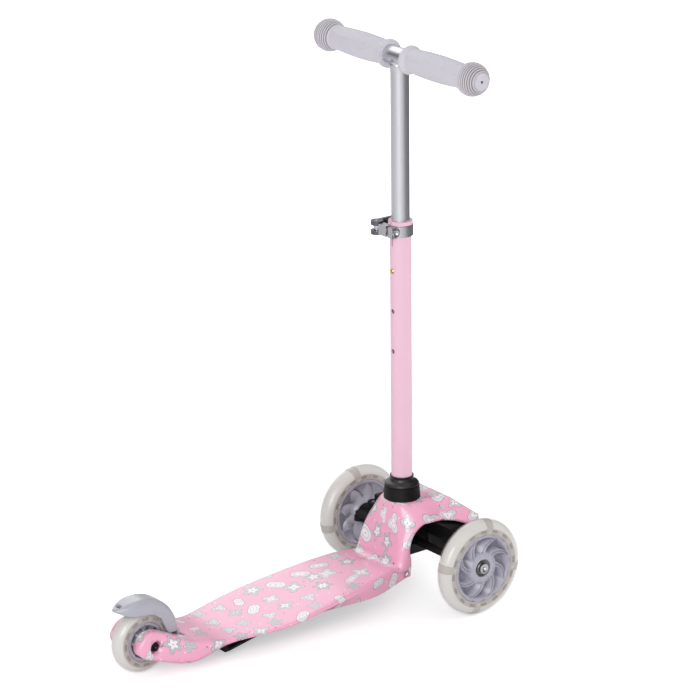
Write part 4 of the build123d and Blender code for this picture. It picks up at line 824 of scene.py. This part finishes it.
class SCOOTER_OT_belly(bpy.types.Operator):
    """Black belly tray, front carrier and their screws"""

    bl_idname = "scooter.belly"
    bl_label = "Belly and carrier"

    def execute(self, context):
        for node in ("under_tray", "front_carrier"):
            dress(node)
        paint("tray_screws", "carrier_screws", "lean_pivot_pin", "kingpins")
        for side, sign in SIDES.items():
            bm = copy_of("lean_bumpers")
            bmesh.ops.delete(bm, geom=[vert for vert in bm.verts if sign * vert.co.y < 0], context="VERTS")
            inner = min((vert.co for vert in bm.verts), key=lambda place: abs(place.y)).copy()
            piece = new_piece(f"{side}_bumper", bm, finish_of("black_rubber"))
            give_way(piece, "lean_bumpers")
        return {"FINISHED"}


class SCOOTER_OT_collar(bpy.types.Operator):
    """Black collar on the hood and the rubber boot that closes it round the stem"""

    bl_idname = "scooter.collar"
    bl_label = "Collar and boot"

    neck_share = 0.6

    def execute(self, context):
        dress("collar_ring")
        piece = new_piece("stem_boot_skin", copy_of("stem_boot"), finish_of("black_rubber"))
        give_way(piece, "stem_boot")
        return {"FINISHED"}


class SCOOTER_OT_stem(bpy.types.Operator):
    """Pink stem tube on its leaning base"""

    bl_idname = "scooter.stem"
    bl_label = "Stem"

    def execute(self, context):
        shade_round(dress("stem_tube"), STEM_AXIS)
        paint("steering_column", "stem_lock_pin")
        return {"FINISHED"}


class SCOOTER_OT_clamp(bpy.types.Operator):
    """Quick-release clamp round the top of the stem"""

    bl_idname = "scooter.clamp"
    bl_label = "Clamp"

    def execute(self, context):
        for node in ("clamp_collar", "clamp_saddle"):
            dress(node, finish_of("clamp_aluminium"))
        for node in ("clamp_bolt", "lever_pin", "clamp_lever"):
            dress(node)
        return {"FINISHED"}


class SCOOTER_OT_handlebar(bpy.types.Operator):
    """Silver T-bar with its height button and the parts inside it"""

    bl_idname = "scooter.handlebar"
    bl_label = "Handlebar"

    shaded_depth = 12 * MM

    def execute(self, context):
        bm = copy_of("t_bar")
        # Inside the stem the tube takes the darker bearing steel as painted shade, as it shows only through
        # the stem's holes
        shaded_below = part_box("stem_tube")[1].z - self.shaded_depth
        bmesh.ops.bisect_plane(
            bm, geom=[*bm.verts, *bm.edges, *bm.faces], plane_co=(0, 0, shaded_below), plane_no=(0, 0, 1)
        )
        for face in bm.faces:
            # Painted shade: faces below the line take the darker bearing steel
            face.material_index = int(face.calc_center_median().z < shaded_below)
        piece = new_piece("t_bar_skin", bm, finish_of("satin_aluminium"), finish_of("bearing_steel"))
        stands_for(piece, "t_bar")
        dress("snap_button")
        paint("foot_bush")
        piece = new_piece("snap_spring_skin", copy_of("snap_spring"), finish_of(SLOT_OF["snap_spring"]))
        give_way(piece, "snap_spring")
        return {"FINISHED"}


class SCOOTER_OT_grips(bpy.types.Operator):
    """Soft grips with a flange, a swelling barrel and a ringed ball end"""

    bl_idname = "scooter.grips"
    bl_label = "Grips"

    # Radius and place along the bar in millimetres, and turns round the ball in degrees
    flange = ((11.05, 18), (16.5, 18), (17.1, 18.5), (17.2, 19.2), (17.2, 20.9), (16.9, 21.8), (15, 24.4))
    barrel = ((14.2, 26), (16, 62), (13.8, 117.5))
    barrel_steps = 40
    ball_centre = 131.6
    ball_radius = 19.75
    ball_ends = (-44.3, 59.6)
    ball_steps = 160
    rings = (-37.0, 8.5, 12)
    ring_half_width = 3.0
    groove_shade_margin = 0.45
    groove_shade_room = 0.05
    groove_shade_inset = 3.0
    shaded_vent_edge = 1.42
    vent = ((1.9, 148.63), (1.4, 148.3), (1.3, 147.6), (1.3, 128.05), (11.05, 128.05))
    steps = 80

    def execute(self, context):
        middle = Vector((BAR_AXIS.x, 0, BAR_AXIS.z))
        line = (*self.flange, *self.barrel_line(), *self.ball_line(), *self.vent)
        profile = [(radius * MM, along * MM) for radius, along in line]
        materials = [finish_of(slot) for slot in ("grip_rubber", "grip_groove_shade", "black_rubber")]
        for side, sign in SIDES.items():
            bm = spun(profile, middle, sign * ALONG_Y, self.steps)
            for face in bm.faces:
                face.material_index = self.finish_at(face.calc_center_median() - middle)
            stands_for(new_piece(f"{side}_soft_grip", bm, *materials), f"{side}_grip")
        return {"FINISHED"}

    def finish_at(self, arm):
        """0 for rubber, 1 for the floor of a ring, which is painted shade, and 2 for the vent, painted black
        as shade, from the grip's middle.
        """
        radius, along = Vector((arm.x, arm.z)).length / MM, abs(arm.y) / MM
        reach = Vector((radius, along - self.ball_centre)).length
        # Painted shade: the walls of the vent hole take black rubber
        if radius < self.shaded_vent_edge:
            return 2
        # Painted shade: faces on the floors of the rings take the darker rubber
        floor = self.ball_radius - sizes().groove_depth / MM - self.groove_shade_room
        in_ring = floor < reach < self.ball_radius - self.groove_shade_margin
        return int(in_ring and radius > self.barrel[2][0] - self.groove_shade_inset)

    def barrel_line(self):
        """Parabola through the barrel's root, belly and neck."""
        (r0, y0), (r1, y1), (r2, y2) = self.barrel
        for i in range(self.barrel_steps):
            y = y0 + (y2 - y0) * i / self.barrel_steps
            near = r0 * (y - y1) * (y - y2) / ((y0 - y1) * (y0 - y2))
            belly = r1 * (y - y0) * (y - y2) / ((y1 - y0) * (y1 - y2))
            yield near + belly + r2 * (y - y0) * (y - y1) / ((y2 - y0) * (y2 - y1)), y

    def ball_line(self):
        """Ball end, dipping at each ring."""
        start, step, count = self.rings
        depth = sizes().groove_depth / MM
        for i in range(self.ball_steps + 1):
            turn = self.ball_ends[0] + (self.ball_ends[1] - self.ball_ends[0]) * i / self.ball_steps
            away = min(abs(turn - start - step * ring) for ring in range(count))
            dip = depth * (1 + cos(pi * min(1.0, away / self.ring_half_width))) / 2
            reach = self.ball_radius - dip
            yield reach * cos(radians(turn)), self.ball_centre + reach * sin(radians(turn))


class SCOOTER_OT_steering(bpy.types.Operator):
    """Black knuckles with their axle bolts, and the rod between them"""

    bl_idname = "scooter.steering"
    bl_label = "Steering"

    def execute(self, context):
        for side in SIDES:
            for node in (f"{side}_knuckle", f"{side}_axle_bolt"):
                dress(node)
        paint("tie_rod")
        return {"FINISHED"}


class SCOOTER_OT_front_wheels(bpy.types.Operator):
    """Swirled hubs in translucent tyres with light modules"""

    bl_idname = "scooter.front_wheels"
    bl_label = "Front wheels"

    lugs = 16
    lights = 4

    def execute(self, context):
        for side in SIDES:
            for part in ("hub", "led_modules", "bearings", "magnet_core"):
                dress(f"{side}_wheel_{part}")
            cast_tyre(f"{side}_wheel_tyre", sizes().front_rim, self.lugs, self.lights)
        return {"FINISHED"}


class SCOOTER_OT_rear_wheel(bpy.types.Operator):
    """Small rear wheel in the fork, with its axle"""

    bl_idname = "scooter.rear_wheel"
    bl_label = "Rear wheel"

    lugs = 12

    def execute(self, context):
        for part in ("hub", "bearings"):
            dress(f"rear_wheel_{part}")
        cast_tyre("rear_wheel_tyre", sizes().rear_rim, self.lugs)
        # Painted shade: the bolt and nut are near black for the shade in the fork's recess
        for node in ("rear_axle_bolt", "rear_axle_nut"):
            dress(node, finish_of("shaded_axle_black"))
        paint("rear_wheel_spacer", "rear_axle_spacers")
        return {"FINISHED"}


class SCOOTER_OT_brake(bpy.types.Operator):
    """Smooth fender that is pressed down to brake"""

    bl_idname = "scooter.brake"
    bl_label = "Brake fender"

    def execute(self, context):
        bm = evenly_meshed(copy_of("brake_fender"), sizes().fender_voxel)
        smooth(bm, bm.verts, 2)
        stands_for(new_piece("smooth_fender", bm, finish_of("fender_plastic")), "brake_fender")
        paint("brake_pad", "brake_hinge_pin")
        piece = new_piece("return_rubber", copy_of("brake_return_rubber"), finish_of("black_rubber"))
        give_way(piece, "brake_return_rubber")
        return {"FINISHED"}


class SCOOTER_OT_stage(bpy.types.Operator):
    """Pale floor, soft light and the camera"""

    bl_idname = "scooter.stage"
    bl_label = "Stage"

    floor_side = 30.0
    # Place, width, power, and whether it shows in shiny things
    lamps = {
        "key": ((-2.4, -2.0, 1.5), 1.8, 54.0, True),
        "top": ((0.3, 0.2, 2.6), 2.4, 5.0, True),
        "rim": ((0.4, 1.9, 1.5), 1.6, 10.0, True),
        "fill": ((2.4, -0.9, 1.0), 1.6, 26.0, False),
    }
    aim = Vector((0.05, 0.0, 0.3))
    floor_glow = 0.42
    floor_reach = (0.7, 1.6)
    dark_side = (0.95, -0.25, 0.0)
    dark_span = (0.25, 0.6)
    dark_patch = (-0.6, 0.76, 0.24)
    patch_span = (0.88, 0.97)
    dark_floor = (0.35, 1.5)
    dark_hue = (0.16, 0.16, 0.17, 1)
    dark_level = 0.12
    soft_level = 0.5
    mirror_level = 0.9

    def execute(self, context):
        scene = context.scene
        scene.view_settings.view_transform = "Standard"
        self.lay_floor()
        for name, (place, width, power, mirrored) in self.lamps.items():
            self.hang_lamp(scene, name, Vector(place), width, power, mirrored)
        self.light_world(scene)
        self.set_camera(scene)
        return {"FINISHED"}

    def lay_floor(self):
        """Wide white floor that keeps the shadows near the scooter and is dark on one side in mirrors."""
        bm = bmesh.new()
        bmesh.ops.create_grid(bm, x_segments=1, y_segments=1, size=self.floor_side / 2)
        white = {"Roughness": 0.9, "Emission Color": (1, 1, 1, 1)}
        material, shader = new_finish("Pale floor", white)
        node = partial(add_node, material)
        path = node("LightPath").outputs
        place = node("TexCoord").outputs["Object"]
        side = node("VectorMath", {0: place, 1: self.dark_side}, operation="DOT_PRODUCT").outputs["Value"]
        rise = {0: side, 1: self.dark_floor[0], 2: self.dark_floor[1], 3: 0.0, 4: 1.0}
        dark = node("MapRange", rise, interpolation_type="SMOOTHSTEP")
        dark = node("Math", {0: dark, 1: path["Is Glossy Ray"]}, operation="MULTIPLY")
        shades = {0: dark, 6: (*colours().floor, 1), 7: self.dark_hue}
        away = node("VectorMath", {0: place}, operation="LENGTH").outputs["Value"]
        rise = {0: away, 1: self.floor_reach[0], 2: self.floor_reach[1], 3: self.floor_glow, 4: 1.0}
        glow = node("MapRange", rise, interpolation_type="SMOOTHSTEP")
        surface = {
            "Base Color": node("Mix", shades, data_type="RGBA").outputs[2],
            "Emission Strength": node("Math", {0: path["Is Camera Ray"], 1: glow}, operation="MULTIPLY"),
        }
        set_inputs(material, shader, surface)
        new_piece("floor", bm, material)

    def hang_lamp(self, scene, name, place, width, power, mirrored):
        """Square soft lamp that looks at the scooter, and shows in shiny things if it is mirrored."""
        lamp = bpy.data.lights.new(name, "AREA")
        lamp.energy = power
        lamp.size = width
        holder = bpy.data.objects.new(name, lamp)
        holder.location = place
        holder.rotation_euler = (self.aim - place).to_track_quat("-Z", "Y").to_euler()
        holder.visible_glossy = mirrored
        scene.collection.objects.link(holder)

    def light_world(self, scene):
        """White surround: plain to the camera, with a dark side and a dark patch where things mirror it."""
        world = bpy.data.worlds.new("Studio")
        world.use_nodes = True
        node = partial(add_node, world)
        path = node("LightPath").outputs
        place = node("TexCoord").outputs["Generated"]
        mirrored = self.mirror_level
        for toward, span in ((self.dark_side, self.dark_span), (self.dark_patch, self.patch_span)):
            near = node("VectorMath", {0: place, 1: toward}, operation="DOT_PRODUCT").outputs["Value"]
            fall = {0: near, 1: span[0], 2: span[1], 3: 1.0, 4: self.dark_level}
            shade = node("MapRange", fall, interpolation_type="SMOOTHSTEP")
            mirrored = node("Math", {0: shade, 1: mirrored}, operation="MULTIPLY")
        lit = node("Mix", {0: path["Is Glossy Ray"], 2: self.soft_level, 3: mirrored})
        rays = {0: path["Is Camera Ray"], 1: path["Is Transmission Ray"]}
        seen = node("Math", rays, operation="MAXIMUM")
        strength = node("Mix", {0: seen, 2: lit, 3: 1.0})
        sky = world.node_tree.nodes["Background"]
        set_inputs(world, sky, {"Color": (1, 1, 1, 1), "Strength": strength})
        scene.world = world

    def set_camera(self, scene):
        """Long lens at the photograph's place and angle."""
        s = sizes()
        across = Vector((cos(s.view_azimuth), sin(s.view_azimuth), 0))
        outward = Vector((sin(s.view_azimuth), -cos(s.view_azimuth), 0))
        back = outward * cos(s.view_elevation) + Vector((0, 0, sin(s.view_elevation)))
        up = back.cross(across)
        right = across * cos(s.view_roll) + up * sin(s.view_roll)
        up = back.cross(right)
        camera = bpy.data.cameras.new("camera")
        camera.sensor_width = 36
        camera.lens = s.view_lens
        camera.clip_end = 100
        holder = bpy.data.objects.new("camera", camera)
        turn = Matrix((right, up, back)).transposed().to_4x4()
        holder.matrix_world = Matrix.Translation(s.view_place) @ turn
        scene.collection.objects.link(holder)
        scene.camera = holder


OPERATORS = (
    SCOOTER_OT_printed_shell,
    SCOOTER_OT_belly,
    SCOOTER_OT_collar,
    SCOOTER_OT_stem,
    SCOOTER_OT_clamp,
    SCOOTER_OT_handlebar,
    SCOOTER_OT_grips,
    SCOOTER_OT_steering,
    SCOOTER_OT_front_wheels,
    SCOOTER_OT_rear_wheel,
    SCOOTER_OT_brake,
    SCOOTER_OT_stage,
)


class SCOOTER_PT_pieces(bpy.types.Panel):
    """Operators that dress the scooter, in their order"""

    bl_idname = "SCOOTER_PT_pieces"
    bl_label = "Scooter"
    bl_space_type = "VIEW_3D"
    bl_region_type = "UI"
    bl_category = "Scooter"

    def draw(self, context):
        for operator in OPERATORS:
            self.layout.operator(operator.bl_idname)
        for group in (context.scene.scooter_colours, context.scene.scooter_sizes):
            box = self.layout.box()
            for name in group.__annotations__:
                box.prop(group, name)


CLASSES = (ScooterColours, ScooterSizes, *OPERATORS, SCOOTER_PT_pieces)


def register():
    for cls in CLASSES:
        bpy.utils.register_class(cls)
    bpy.types.Scene.scooter_colours = bpy.props.PointerProperty(type=ScooterColours)
    bpy.types.Scene.scooter_sizes = bpy.props.PointerProperty(type=ScooterSizes)


def unregister():
    del bpy.types.Scene.scooter_sizes
    del bpy.types.Scene.scooter_colours
    for cls in reversed(CLASSES):
        bpy.utils.unregister_class(cls)


def main():
    register()
    for operator in OPERATORS:
        group, name = operator.bl_idname.split(".")
        getattr(getattr(bpy.ops, group), name)()


if __name__ == "__main__":
    main()
